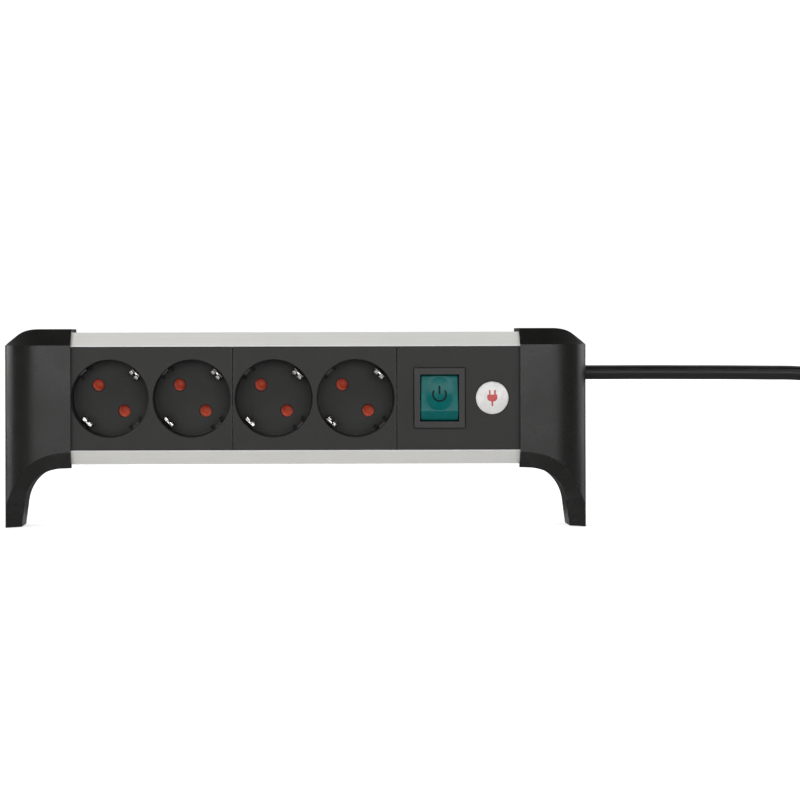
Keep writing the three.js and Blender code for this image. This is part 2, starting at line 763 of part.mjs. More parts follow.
const HANK_END = HANK.start + HANK.run;
const HANK_TOP = HANK.bottom + HANK.layers * 2 * CORD_RADIUS;
const TOP_LAYER = HANK_TOP - CORD_RADIUS;
// where a straight cord on the outer run first clears the round end of the hank
const HANK_CLEAR = Math.sqrt((HANK.fold + CORD_RADIUS) ** 2 - (HANK.fold - CORD_RADIUS) ** 2);

// straight out of the cap, down to the desk and along it to the hank
const LEAD_ROUTE = [
  [150.2, 7, 79.6],
  [165, 7, 79.6],
  [185, 7, 79.6],
  [205, 7, 79.5],
  [225, 7, 79.4],
  [245, 7, 79.2],
  [262, 7.1, 78.9],
  [275.3, 7.4, 77.3],
  [286.6, 8, 72.1],
  [295.5, 8.9, 63.5],
  [300.6, 10.2, 52.5],
  [302.3, 11.4, 41.5],
  [304, 12.7, 30.6],
  [309.1, 14.4, 19.4],
  [317.9, 16.7, 10.5],
  [329, 19.1, 5.3],
  [337.5, 20.8, 4],
  [344.9, 21.9, 4.1],
];

// off the top of the hank and down to the plug
const TAIL_ROUTE = [
  [HANK_END + HANK_CLEAR + GAP, 22.4, 34],
  [490.5, 21.4, 33.4],
  [498, 19.1, 31.3],
  [506, 15.4, 27.6],
  [514, 11.3, 23.3],
  [521.5, 8.4, 20.1],
  [528.5, 7.2, 18.7],
  [PLUG.x - GAP, 7, 18.5],
];

const hank = () =>
  prism(
    'z',
    stadium(HANK.start, HANK_END, 0, HANK.fold + CORD_RADIUS, 16),
    HANK.bottom,
    HANK_TOP,
  );

function hankTie() {
  const middle = (HANK.start + HANK_END) / 2;
  const halfY = HANK.fold + CORD_RADIUS + GAP;
  const inner = rectangle(-halfY, TIE.thickness, halfY, HANK_TOP + GAP);
  const grown = halfY + TIE.thickness;
  const outer = rectangle(-grown, 0, grown, HANK_TOP + GAP + TIE.thickness);
  const [from, to] = [middle - TIE.width / 2, middle + TIE.width / 2];
  return prism('x', outer, from, to).subtract(prism('x', inner, from - 1, to + 1));
}

const PLUG_FRONT = PLUG.x + 52;
const PLUG_PIN = { offset: 9.5, radius: 2.4, length: 19 };

function plugBody() {
  const profile = [
    [0, 0],
    [5, 0],
    [6.4, 17],
    [9.5, 20],
    [14.5, 27],
    [17.6, 33],
    [PLUG.radius, 37],
    [PLUG.radius, 52],
    [0, 52],
  ];
  let solid = turned('x', profile, [PLUG.x, PLUG.y, PLUG.radius], 32);
  for (const side of [-1, 1]) {
    const y = PLUG.y + side * PLUG_PIN.offset;
    const z = PLUG.radius + side * 17.5;
    solid = solid
      .subtract(cylinder('x', y, PLUG.radius, PLUG_PIN.radius + GAP, PLUG_FRONT - 5, 600, 12))
      .subtract(block(PLUG_FRONT - 12, PLUG.y - 3, z - 1.6, 600, PLUG.y + 3, z + 1.6));
  }
  return solid;
}

const plugPin = (side) =>
  turned(
    'x',
    [
      [0, PLUG_FRONT - 4.7],
      [PLUG_PIN.radius, PLUG_FRONT - 4.7],
      [PLUG_PIN.radius, PLUG_FRONT + PLUG_PIN.length - 1.5],
      [PLUG_PIN.radius - 1.2, PLUG_FRONT + PLUG_PIN.length],
      [0, PLUG_FRONT + PLUG_PIN.length],
    ],
    [0, PLUG.y + side * PLUG_PIN.offset, PLUG.radius],
    12,
  );

function plugEarthContact(side) {
  const z = PLUG.radius + side * 16.75;
  return block(PLUG_FRONT - 11.7, PLUG.y - 2.5, z - 0.5, PLUG_FRONT - 0.3, PLUG.y + 2.5, z + 0.5);
}

// ---------------------------------------------------------------- assembly

add('aluminium_profile', 'aluminium', aluminiumProfile());
add('left_end_cap', 'blackPlastic', mirrored(plainCap()));
add('right_end_cap', 'blackPlastic', cordCap());
for (const [level, side] of [['upper', 1], ['lower', -1]]) {
  const screw = capScrew(PORT.y, AXIS_Z + side * PORT.z);
  add(`right_cap_screw_${level}`, 'steel', screw);
  add(`left_cap_screw_${level}`, 'steel', mirrored(screw));
}
add('left_rubber_foot', 'rubber', mirrored(foot()));
add('right_rubber_foot', 'rubber', foot());

add('socket_insert_left', 'panelPlastic', socketInsert(MODULES.left, SOCKET_X.slice(0, 2)));
add('socket_insert_middle', 'panelPlastic', socketInsert(MODULES.middle, SOCKET_X.slice(2)));
add('switch_panel', 'panelPlastic', switchPanel());

SOCKET_X.forEach((x, i) => {
  add(`shutter_${i + 1}`, 'orangePlastic', shutter(x));
  add(`shutter_spring_${i + 1}`, 'steel', shutterSpring(x));
  add(`earth_clip_${i + 1}`, 'nickel', earthClip(x));
});
add('contact_base_left', 'palePlastic', contactBase(SOCKET_X.slice(0, 2)));
add('contact_base_middle', 'palePlastic', contactBase(SOCKET_X.slice(2)));
add('line_bar', 'brass', pinBar(-1));
add('neutral_bar', 'brass', pinBar(1));
add('earth_bar', 'brass', earthBar());

add('switch_frame', 'blackPlastic', switchFrame());
add('switch_base', 'palePlastic', switchBase());
add('rocker', 'greenPlastic', rocker());
add('switch_lamp', 'glass', lamp());
eachTerminal().forEach(([x, z], i) => add(`switch_terminal_${i + 1}`, 'brass', terminal(x, z)));
add('badge_disc', 'badge', badge());

add('cord_strain_relief', 'rubber', strainRelief());
add('cord_clamp_bar', 'palePlastic', clampBar());
add('clamp_screw_upper', 'steel', clampScrew(1));
add('clamp_screw_lower', 'steel', clampScrew(-1));
addWires();

add('lead_cord', 'cordRubber', tube(LEAD_ROUTE, CORD_RADIUS, 8, 34));
add('lead_hank', 'cordRubber', hank());
add('lead_tail', 'cordRubber', tube(TAIL_ROUTE, CORD_RADIUS, 8, 16));
add('hank_tie', 'strap', hankTie());
add('plug_body', 'cordRubber', plugBody());
[-1, 1].forEach((side, i) => {
  add(`plug_pin_${i + 1}`, 'nickel', plugPin(side));
  add(`plug_earth_contact_${i + 1}`, 'nickel', plugEarthContact(side));
});

export default model;
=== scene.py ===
import functools
import json
import math

import bmesh
import bpy
from mathutils import Matrix, Vector


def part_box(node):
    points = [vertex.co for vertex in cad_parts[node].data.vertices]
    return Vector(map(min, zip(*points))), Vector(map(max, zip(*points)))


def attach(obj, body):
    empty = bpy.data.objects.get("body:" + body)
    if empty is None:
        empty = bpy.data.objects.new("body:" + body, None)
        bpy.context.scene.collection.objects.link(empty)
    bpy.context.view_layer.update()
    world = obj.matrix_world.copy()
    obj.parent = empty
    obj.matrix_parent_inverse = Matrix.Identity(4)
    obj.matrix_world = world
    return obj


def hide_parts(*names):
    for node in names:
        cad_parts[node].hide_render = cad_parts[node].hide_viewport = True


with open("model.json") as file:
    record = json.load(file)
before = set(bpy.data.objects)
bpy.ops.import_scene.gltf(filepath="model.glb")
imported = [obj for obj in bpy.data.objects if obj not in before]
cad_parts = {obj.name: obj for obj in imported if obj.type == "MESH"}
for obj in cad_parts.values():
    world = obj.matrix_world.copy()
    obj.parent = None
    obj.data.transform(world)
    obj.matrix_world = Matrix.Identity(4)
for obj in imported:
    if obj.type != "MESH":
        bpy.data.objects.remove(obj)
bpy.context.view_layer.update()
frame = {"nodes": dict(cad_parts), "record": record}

# ---- places

MM = 0.001  # outlines are drawn in millimetres, and meshes are in metres


def box_mm(node):
    """The node's lowest and highest corners, in millimetres."""
    return [tuple(value / MM for value in corner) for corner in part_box(node)]


CAP_LOW, CAP_HIGH = box_mm("right_end_cap")
PROFILE_LOW, PROFILE_HIGH = box_mm("aluminium_profile")
PANEL_LOW, _ = box_mm("switch_panel")
BADGE_LOW, BADGE_HIGH = box_mm("badge_disc")
BEZEL_LOW, BEZEL_HIGH = box_mm("switch_frame")
PLUG_LOW, PLUG_HIGH = box_mm("plug_body")
TIE_LOW, TIE_HIGH = box_mm("hank_tie")


def middle(low, high):
    return [(a + b) / 2 for a, b in zip(low, high)]


AXIS_Z = middle(PROFILE_LOW, PROFILE_HIGH)[2]  # centre line of the sockets
FACE_Y = PANEL_LOW[1]  # front of the black panel
HALF_WIDTH = CAP_HIGH[0]
HEIGHT = CAP_HIGH[2]
CAP_FRONT, CAP_BACK = CAP_LOW[1], CAP_HIGH[1]

# camera: level, square to the panel, its axis well to the left of the picture's middle
CAMERA_DISTANCE = 1.55
CAMERA_HEIGHT = 0.0982
CAMERA_LENS = 136
CAMERA_SHIFT = (0.131, -0.0784)
CAMERA_ROLL = math.radians(0.14)

# mains lead, in metres
CORD_RADIUS = 0.0037
CORD_EXIT = (0.1502, 0.007, 0.0796)
LEAD_ROUTE = [
    CORD_EXIT, (0.165, 0.007, 0.0796), (0.185, 0.007, 0.0796),
    (0.205, 0.007, 0.0795), (0.225, 0.007, 0.0794), (0.245, 0.007, 0.0792),
    (0.262, 0.0071, 0.0789), (0.2753, 0.0074, 0.0773), (0.2866, 0.008, 0.0721),
    (0.2955, 0.0089, 0.0635), (0.3006, 0.0102, 0.0525), (0.3023, 0.0114, 0.0415),
    (0.304, 0.0127, 0.0306), (0.3091, 0.0144, 0.0194), (0.3179, 0.0167, 0.0105),
    (0.329, 0.0191, 0.0053), (0.3375, 0.0208, 0.004), (0.3449, 0.0219, 0.0041),
    (0.355, 0.0223, 0.0045),
]
TAIL_ROUTE = [
    (0.4833, 0.0224, 0.034), (0.4905, 0.0214, 0.0334), (0.498, 0.0191, 0.0313),
    (0.506, 0.0154, 0.0276), (0.514, 0.0113, 0.0233), (0.5215, 0.0084, 0.0201),
    (0.5285, 0.0072, 0.0187), (0.5357, 0.007, 0.0185),
]
CORD_STEP = 0.003

# hank: the X where its straight runs start, their length, the radius of its folds and its floor gap
HANK_START, HANK_RUN, HANK_FOLD = 0.364, 0.1006, 0.0224
HANK_END = HANK_START + HANK_RUN
HANK_TURNS = 4
HANK_LOW = 0.0009 + CORD_RADIUS
HANK_RISE = HANK_TURNS * 2 * CORD_RADIUS
HANK_STEPS, FOLD_STEPS = 25, 14


def new_object(name, data):
    obj = bpy.data.objects.new(name, data)
    bpy.context.collection.objects.link(obj)
    return obj


# ---- camera

def make_camera():
    data = bpy.data.cameras.new("camera")
    data.lens = CAMERA_LENS
    data.sensor_width = 36
    data.shift_x, data.shift_y = CAMERA_SHIFT
    data.clip_start, data.clip_end = 0.05, 50
    camera = new_object("camera", data)
    camera.location = (0, PROFILE_LOW[1] * MM - CAMERA_DISTANCE, CAMERA_HEIGHT)
    camera.rotation_euler = (math.pi / 2, CAMERA_ROLL, 0)
    bpy.context.scene.camera = camera


make_camera()


# ---- mains lead

def between(p, q, t0, t1, t):
    return p * ((t1 - t) / (t1 - t0)) + q * ((t - t0) / (t1 - t0))


def smooth_line(points):
    """Points along a centripetal Catmull-Rom curve, about CORD_STEP apart."""
    points = [Vector(p) for p in points]
    ends = [2 * points[0] - points[1], *points, 2 * points[-1] - points[-2]]
    line = []
    for a, b, c, d in zip(ends, ends[1:], ends[2:], ends[3:]):
        knots = [0.0]
        for p, q in ((a, b), (b, c), (c, d)):
            knots.append(knots[-1] + math.sqrt((q - p).length))
        t0, t1, t2, t3 = knots
        count = max(2, round((c - b).length / CORD_STEP))
        for i in range(count):
            t = t1 + (t2 - t1) * i / count
            ab, bc = between(a, b, t0, t1, t), between(b, c, t1, t2, t)
            abc = between(ab, bc, t0, t2, t)
            bcd = between(bc, between(c, d, t2, t3, t), t1, t3, t)
            line.append(between(abc, bcd, t1, t2, t))
    return [*line, points[-1]]


def half_turn(x, start):
    angles = [start - math.pi * i / FOLD_STEPS for i in range(FOLD_STEPS)]
    return [(x + HANK_FOLD * math.cos(a), HANK_FOLD * math.sin(a)) for a in angles]


def hank_line():
    """The folded turns, each a diameter above the last, along the outer run first."""
    run = [HANK_RUN * i / HANK_STEPS for i in range(HANK_STEPS)]
    there = [(HANK_START + x, HANK_FOLD) for x in run]
    back = [(HANK_END - x, -HANK_FOLD) for x in run]
    turn = [*there, *half_turn(HANK_END, math.pi / 2), *back, *half_turn(HANK_START, -math.pi / 2)]
    flat = [*(turn * HANK_TURNS), *there, (HANK_END, HANK_FOLD)]
    first, last = HANK_STEPS, len(flat) - 1 - HANK_STEPS
    return [
        Vector((x, y, HANK_LOW + HANK_RISE * min(1, max(0, (i - first) / (last - first)))))
        for i, (x, y) in enumerate(flat)
    ]


def cord_line():
    lead = smooth_line([*LEAD_ROUTE, (HANK_START, HANK_FOLD, HANK_LOW)])
    top = HANK_LOW + HANK_RISE
    tail = smooth_line([(x, HANK_FOLD, top) for x in (HANK_END, HANK_END + 0.01)] + TAIL_ROUTE)
    return [*lead[:-1], *hank_line()[:-1], *tail]


def make_cord():
    line = cord_line()
    curve = bpy.data.curves.new("mains_lead", "CURVE")
    curve.dimensions = "3D"
    curve.bevel_depth = 1
    curve.bevel_resolution = 6
    curve.use_fill_caps = True
    spline = curve.splines.new("POLY")
    spline.points.add(len(line) - 1)
    for point, place in zip(spline.points, line):
        point.co = (*place, 1)
        point.radius = CORD_RADIUS
    spline.use_smooth = True
    cord = new_object("mains_lead", curve)
    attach(cord, "housing")
    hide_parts("lead_cord", "lead_hank", "lead_tail")
    give(cord, "cord")
    return cord


# ---- materials

def add_node(tree, kind, inputs=None, **settings):
    """A new node with inputs that are set to values or linked to other nodes' outputs."""
    made = tree.nodes.new(kind)
    for name, value in settings.items():
        setattr(made, name, value)
    for name, value in (inputs or {}).items():
        if isinstance(value, bpy.types.NodeSocket):
            tree.links.new(value, made.inputs[name])
        else:
            made.inputs[name].default_value = value
    return made


def add_range(tree, value, start, end, low, high):
    """Maps start..end of a value to low..high."""
    numbers = {"From Min": start, "From Max": end, "To Min": low, "To Max": high}
    return add_node(tree, "ShaderNodeMapRange", {"Value": value, **numbers}).outputs["Result"]


class Look:
    """A node material under construction, with patterns placed in metres on the piece itself."""

    def __init__(self, name, colour, roughness, metallic=0.0, **shader_values):
        self.material = bpy.data.materials.new(name)
        self.material.use_nodes = True
        self.material.diffuse_color = (*colour, 1)
        self.tree = self.material.node_tree
        self.inputs = self.tree.nodes["Principled BSDF"].inputs
        self.inputs["Base Color"].default_value = (*colour, 1)
        self.inputs["Roughness"].default_value = roughness
        self.inputs["Metallic"].default_value = metallic
        for socket, value in shader_values.items():
            self.inputs[socket.replace("_", " ")].default_value = value
        self.place = self.node("ShaderNodeTexCoord").outputs["Object"]

    def node(self, kind, inputs=None, **settings):
        return add_node(self.tree, kind, inputs, **settings)

    def noise(self, size, detail=3.0, stretch=(1, 1, 1)):
        """Noise whose features are about size metres across."""
        scale = [value / size for value in stretch]
        mapping = self.node("ShaderNodeMapping", {"Scale": scale, "Vector": self.place})
        inputs = {"Scale": 1, "Detail": detail, "Vector": mapping.outputs["Vector"]}
        return self.node("ShaderNodeTexNoise", inputs).outputs["Fac"]

    def ranged(self, value, low, high, start=0.3, end=0.7):
        return add_range(self.tree, value, start, end, low, high)

    def mixed(self, factor, first, second):
        colours = [(*c, 1) if isinstance(c, tuple) else c for c in (first, second)]
        inputs = {"Factor": factor, 6: colours[0], 7: colours[1]}
        return self.node("ShaderNodeMix", inputs, data_type="RGBA").outputs[2]

    def mottled(self, pattern, colour, low, high):
        """From low to high times the colour, over a pattern."""
        return self.mixed(self.ranged(pattern, 0, 1), shade(colour, low), shade(colour, high))

    def edges(self, radius=0.0003):
        """1 within about radius of an edge and 0 elsewhere."""
        near = self.node("ShaderNodeBevel", {"Radius": radius}, samples=4).outputs["Normal"]
        here = self.node("ShaderNodeNewGeometry").outputs["Normal"]
        turn = self.node("ShaderNodeVectorMath", {0: near, 1: here}, operation="DOT_PRODUCT")
        return self.ranged(turn.outputs["Value"], 1.0, 0.0, 0.9, 0.99)

    def painted_shade_mask(self, reach):
        """1 in the open and 0 deep between walls: the mask for painted shade in hollows."""
        shelter = self.node("ShaderNodeAmbientOcclusion", {"Distance": reach}, samples=6)
        return self.ranged(shelter.outputs["AO"], 0.0, 1.0, 0.2, 0.9)

    def colours(self, factor, first, second):
        self.tree.links.new(self.mixed(factor, first, second), self.inputs["Base Color"])

    def roughnesses(self, value, low, high):
        self.tree.links.new(self.ranged(value, low, high), self.inputs["Roughness"])

    def bumps(self, *layers):
        """Bumps of (height, depth in metres), each on top of the last."""
        inputs = {}
        for height, depth in layers:
            inputs.update({"Distance": depth, "Height": height})
            inputs["Normal"] = self.node("ShaderNodeBump", inputs).outputs["Normal"]
        self.tree.links.new(inputs["Normal"], self.inputs["Normal"])


def shade(colour, amount):
    return tuple(min(1, value * amount) for value in colour)


def moulded(
    name, colour, roughness, grain=0.0004, depth=0.00002, wear=1.6, reach=0.0025, **shader_values
):
    """Moulded plastic: a fine spark-eroded grain, faint mottling, rubbed edges and painted shade in
    its hollows.

    Grain, depth and reach are in metres; wear is how much lighter the edges are."""
    look = Look(name, colour, roughness, **shader_values)
    mottle = look.noise(0.018, 4)
    fine = look.noise(grain, 2)
    base = look.mottled(mottle, colour, 0.88, 1.12)
    grained = look.mixed(look.ranged(fine, 0, 0.35), base, shade(colour, 1.35))
    worn = look.mixed(look.edges(), grained, shade(colour, wear))
    # painted shade: the colour falls to a tenth deep in hollows and between walls
    look.colours(look.painted_shade_mask(reach), shade(colour, 0.1), worn)
    look.roughnesses(mottle, roughness - 0.05, roughness + 0.06)
    look.bumps((fine, depth), (look.noise(0.004, 2), depth * 0.6))
    return look.material


def anodised(name, colour):
    """Satin anodised aluminium, drawn along its length, with a painted highlight along its edges."""
    look = Look(name, colour, 0.4, metallic=0.3)
    drawn = look.noise(0.00035, 4, stretch=(0.012, 1, 1))
    base = look.mottled(look.noise(0.03, 3), colour, 0.97, 1.02)
    lined = look.mixed(look.ranged(drawn, 0, 0.6), base, shade(colour, 0.9))
    # painted highlight: the colour is lighter along every edge
    look.colours(look.edges(0.0014), lined, shade(colour, 1.6))
    look.roughnesses(drawn, 0.3, 0.46)
    look.bumps((drawn, 0.000012), (look.noise(0.0002, 1), 0.000004))
    return look.material


def glossy(name, colour, roughness=0.14, reach=0.003, hollow_shade=0.3, **shader_values):
    """Polished plastic with faint sink marks and a few fine scratches, with painted shade in its
    hollows.
    """
    look = Look(name, colour, roughness, **shader_values)
    clouds = look.noise(0.006, 3)
    tint = look.mottled(clouds, colour, 0.9, 1.12)
    # painted shade: deep in hollows the colour falls to a set share of itself
    look.colours(look.painted_shade_mask(reach), shade(colour, hollow_shade), tint)
    look.roughnesses(look.noise(0.0015, 5), max(0.03, roughness - 0.05), roughness + 0.06)
    scratches = look.noise(0.0003, 2, stretch=(1, 1, 0.08))
    look.bumps((clouds, 0.00003), (scratches, 0.000003))
    return look.material


def metal(name, colour, roughness, along=(1, 1, 0.05)):
    """Drawn or stamped metal with fine lines, worn bright along its edges."""
    look = Look(name, colour, roughness, metallic=1.0)
    stains = look.noise(0.003, 3)
    base = look.mottled(stains, colour, 0.86, 1)
    look.colours(look.edges(), base, shade(colour, 1.15))
    look.roughnesses(stains, max(0.05, roughness - 0.07), roughness + 0.1)
    look.bumps((look.noise(0.0002, 3, stretch=along), 0.000005))
    return look.material


def rubbery(name, colour, roughness, grain=0.0006, depth=0.00002, **shader_values):
    """Soft rubber with a dusty bloom and a fine matt grain."""
    look = Look(name, colour, roughness, **shader_values)
    bloom = look.noise(0.009, 5)
    look.colours(look.ranged(bloom, 0, 1), shade(colour, 0.85), shade(colour, 1.3))
    look.roughnesses(bloom, roughness - 0.08, roughness + 0.08)
    look.bumps((look.noise(grain, 3), depth), (look.noise(0.005, 2), depth))
    return look.material


def woven(name, colour):
    """Hook and loop strap: short loops in crossing ribs."""
    look = Look(name, colour, 0.9, Sheen_Weight=0.4)
    loops = look.noise(0.0004, 4)
    ribs = look.noise(0.0009, 1, stretch=(1, 0.1, 0.1))
    look.colours(look.ranged(loops, 0, 1), shade(colour, 0.6), shade(colour, 1.8))
    look.bumps((ribs, 0.00015), (loops, 0.0002))
    return look.material


BLACK = (0.0045, 0.0043, 0.0038)
PANEL_BLACK = (0.0205, 0.0199, 0.019)

# the moulded and glossy looks carry painted shade in their hollows, and the anodised look a painted
# highlight on its edges
MATERIALS = {
    "cap": moulded("cap_plastic", BLACK, 0.29, 0.00035, 0.000015, Specular_IOR_Level=0.3),
    # painted shade reaches 5 mm from the well walls
    "panel": moulded(
        "panel_plastic", PANEL_BLACK, 0.5, wear=1.9, reach=0.005, Specular_IOR_Level=0.22
    ),
    "bezel": moulded(
        "bezel_plastic", (0.032, 0.0305, 0.0298), 0.5, wear=1.5, Specular_IOR_Level=0.25
    ),
    "profile": anodised("anodised_aluminium", (0.84, 0.835, 0.8)),
    "rocker": glossy("rocker_plastic", (0.0003, 0.1, 0.096), 0.2, Specular_IOR_Level=0.16),
    # painted shade: the shutters darken to 0.08 of their colour round the pin-hole walls
    "shutter": glossy(
        "shutter_plastic", (1.0, 0.11, 0.045), 0.4, 0.006, hollow_shade=0.08, Specular_IOR_Level=0.2
    ),
    "badge": glossy("badge_face", (0.62, 0.61, 0.6), 0.3, Coat_Weight=0.2, Coat_Roughness=0.1),
    "nickel": metal("bright_nickel", (0.6, 0.585, 0.56), 0.2),
    "brass": metal("contact_brass", (0.78, 0.58, 0.24), 0.28, along=(0.05, 1, 1)),
    "steel": metal("zinc_plated_steel", (0.6, 0.61, 0.62), 0.32),
    "base": moulded("pale_plastic", (0.66, 0.64, 0.57), 0.55, 0.0005, wear=1.1),
    "foot": rubbery("foot_rubber", (0.022, 0.022, 0.022), 0.82),
    "relief": rubbery("relief_rubber", (0.018, 0.018, 0.018), 0.6),
    "cord": rubbery(
        "cord_sheath", (0.006, 0.006, 0.0062), 0.36, 0.0005, 0.000006, Specular_IOR_Level=0.28
    ),
    "plug": rubbery("plug_rubber", (0.017, 0.017, 0.0175), 0.5, 0.0005, 0.000015),
    "strap": woven("strap_fabric", (0.02, 0.02, 0.021)),
    "lamp": glossy("lamp_glass", (0.9, 0.6, 0.45), 0.08, Transmission_Weight=0.7),
    "wire_brown": glossy("brown_insulation", (0.12, 0.04, 0.015), 0.35),
    "wire_blue": glossy("blue_insulation", (0.02, 0.08, 0.38), 0.35),
    "wire_green": glossy("green_insulation", (0.12, 0.34, 0.03), 0.35),
    "symbol": glossy("symbol_ink", (0.001, 0.012, 0.014), 0.5, Specular_IOR_Level=0.1),
    "icon": glossy("icon_ink", (0.42, 0.018, 0.022), 0.3),
}
SLOT_OF = {row["node"]: row["material_slot"] for row in frame["record"]["subparts"]}
BODY_OF = {
    node: body
    for body, nodes in frame["record"]["behaviour"]["bodies"].items()
    for node in nodes
}


def give(obj, slot):
    obj.data.materials.clear()
    obj.data.materials.append(MATERIALS[slot])


# ---- meshes

def from_faces(name, vertices, faces):
    """A mesh object from millimetre vertices, with its faces turned outwards."""
    mesh = bpy.data.meshes.new(name)
    mesh.from_pydata([Vector(v) * MM for v in vertices], [], faces)
    shape = bmesh.new()
    shape.from_mesh(mesh)
    bmesh.ops.recalc_face_normals(shape, faces=shape.faces)
    if shape.calc_volume(signed=True) < 0:
        bmesh.ops.reverse_faces(shape, faces=shape.faces)
    shape.to_mesh(mesh)
    shape.free()
    return new_object(name, mesh)


def loft(name, rings, closed=False):
    """A solid through rings of as many points each, with flat ends or joined last to first."""
    count = len(rings[0])
    points = [point for ring in rings for point in ring]
    faces = []
    for start in range(0, len(points) if closed else len(points) - count, count):
        after = (start + count) % len(points)
        for i in range(count):
            j = (i + 1) % count
            faces.append((start + i, start + j, after + j, after + i))
    if not closed:
        faces += [tuple(reversed(range(count))), tuple(range(len(points) - count, len(points)))]
    return from_faces(name, points, faces)


def on_axis(axis, u, v, along):
    """The point so far along an axis. U and v are the other two axes, in X, Y, Z order."""
    return {"x": (along, u, v), "y": (u, along, v), "z": (u, v, along)}[axis]


def moved(points, by):
    return [[a + b for a, b in zip(point, by)] for point in points]


def prism(name, axis, outline, start, end):
    """An outline swept along an axis."""
    return loft(name, [[on_axis(axis, u, v, along) for u, v in outline] for along in (start, end)])


def lathe(name, axis, profile, centre, segments=64):
    """A profile of (radius, distance along the axis) turned about an axis through a point.

    The profile starts and ends on the axis."""
    vertices, faces, rings = [], [], []
    for radius, along in profile:
        count = segments if radius > 0 else 1
        rings.append(range(len(vertices), len(vertices) + count))
        for i in range(count):
            angle = 2 * math.pi * i / segments
            u, v = radius * math.cos(angle), radius * math.sin(angle)
            vertices.append(on_axis(axis, u, v, along))
    for low, high in zip(rings, rings[1:]):
        for i in range(segments):
            j = (i + 1) % segments
            corners = [(low, i), (low, j), (high, j), (high, i)]
            face = list(dict.fromkeys(ring[k % len(ring)] for ring, k in corners))
            if len(face) > 2:
                faces.append(face)
    return from_faces(name, moved(vertices, centre), faces)


def cylinder(name, axis, radius, start, end, centre, segments):
    profile = [(0, start), (radius, start), (radius, end), (0, end)]
    return lathe(name, axis, profile, centre, segments)


def applied(obj):
    """Makes the object's modifiers part of its mesh."""
    graph = bpy.context.evaluated_depsgraph_get()
    obj.data = bpy.data.meshes.new_from_object(obj.evaluated_get(graph))
    obj.modifiers.clear()
    return obj


def combined(operation, obj, *tools):
    for tool in tools:
        cut = obj.modifiers.new("combined", "BOOLEAN")
        cut.operation = operation
        cut.solver = "MANIFOLD"
        cut.object = tool
        applied(obj)
        bpy.data.objects.remove(tool)
    return obj


minus = functools.partial(combined, "DIFFERENCE")
plus = functools.partial(combined, "UNION")


def cleaned(obj, angle=0.5):
    """Merges doubled points and joins faces that lie in one plane."""
    shape = bmesh.new()
    shape.from_mesh(obj.data)
    bmesh.ops.remove_doubles(shape, verts=shape.verts, dist=2e-6)
    bmesh.ops.dissolve_limit(
        shape, angle_limit=math.radians(angle), verts=shape.verts, edges=shape.edges
    )
    shape.to_mesh(obj.data)
    shape.free()
    return obj


def rounded(obj, width, segments, angle):
    """Rounds the sharp edges to a radius of about width millimetres."""
    bevel = obj.modifiers.new("rounded", "BEVEL")
    bevel.width = width * MM
    bevel.segments = segments
    bevel.limit_method = "ANGLE"
    bevel.angle_limit = math.radians(angle)
    bevel.miter_outer = "MITER_ARC"
    return applied(obj)


def smoothed(obj, angle=30):
    """Smooth shading in which flat faces stay flat beside their rounded edges."""
    obj.data.shade_smooth()
    obj.data.set_sharp_from_angle(angle=math.radians(angle))
    even = obj.modifiers.new("even", "WEIGHTED_NORMAL")
    even.keep_sharp = True
    return applied(obj)


def settled(obj, node):
    """Puts a finished piece in its CAD node's place, with that node's body and slot."""
    give(obj, SLOT_OF[node])
    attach(obj, BODY_OF[node])
    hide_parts(node)
    return obj


def finished(obj, node, width, angle=35, smooth=30):
    """Rounds the edges of a drawn piece and settles it in its CAD node's place."""
    smoothed(rounded(cleaned(obj, 0.2), width, 2, angle), smooth)
    return settled(obj, node)


def refined(node, width, segments=3):
    """A copy of a CAD node with rounded edges, which stands for it."""
    obj = new_object(f"{node}_finished", frame["nodes"][node].data.copy())
    return settled(smoothed(rounded(cleaned(obj), width, segments, 30)), node)


# ---- outlines

def rectangle(u0, v0, u1, v1):
    return [(u0, v0), (u1, v0), (u1, v1), (u0, v1)]


def centred(u, v, half_u, half_v):
    return rectangle(u - half_u, v - half_v, u + half_u, v + half_v)


def turned_by(outline, angle):
    c, s = math.cos(angle), math.sin(angle)
    return [(u * c - v * s, u * s + v * c) for u, v in outline]


def shifted(outline, du, dv):
    return [(u + du, v + dv) for u, v in outline]


def stadium(half, radius, segments=24):
    points = []
    for centre, start in ((half, -math.pi / 2), (-half, math.pi / 2)):
        for i in range(segments + 1):
            angle = start + math.pi * i / segments
            points.append((centre + radius * math.cos(angle), radius * math.sin(angle)))
    return points


def round_rectangle(half_u, half_v, radius, segments=8):
    points = []
    for i, (su, sv) in enumerate(((1, 1), (-1, 1), (-1, -1), (1, -1))):
        for k in range(segments + 1):
            angle = math.pi / 2 * (i + k / segments)
            u = su * (half_u - radius) + radius * math.cos(angle)
            v = sv * (half_v - radius) + radius * math.sin(angle)
            points.append((u, v))
    return points


BEZIER_STEPS = 400


def bezier(points, divisions):
    """Points at equal steps along a cubic curve, ends included."""
    p0, p1, p2, p3 = (Vector(p) for p in points)
    dense = []
    for i in range(BEZIER_STEPS + 1):
        t = i / BEZIER_STEPS
        s = 1 - t
        dense.append(s**3 * p0 + 3 * s * s * t * p1 + 3 * s * t * t * p2 + t**3 * p3)
    lengths = [0.0]
    for a, b in zip(dense, dense[1:]):
        lengths.append(lengths[-1] + (b - a).length)
    line, k = [], 0
    for i in range(divisions + 1):
        wanted = lengths[-1] * i / divisions
        while k < BEZIER_STEPS - 1 and lengths[k + 1] < wanted:
            k += 1
        part = (wanted - lengths[k]) / (lengths[k + 1] - lengths[k])
        line.append(tuple(dense[k].lerp(dense[k + 1], min(1, part))))
    return line


# ---- end caps (drawn for the right end)

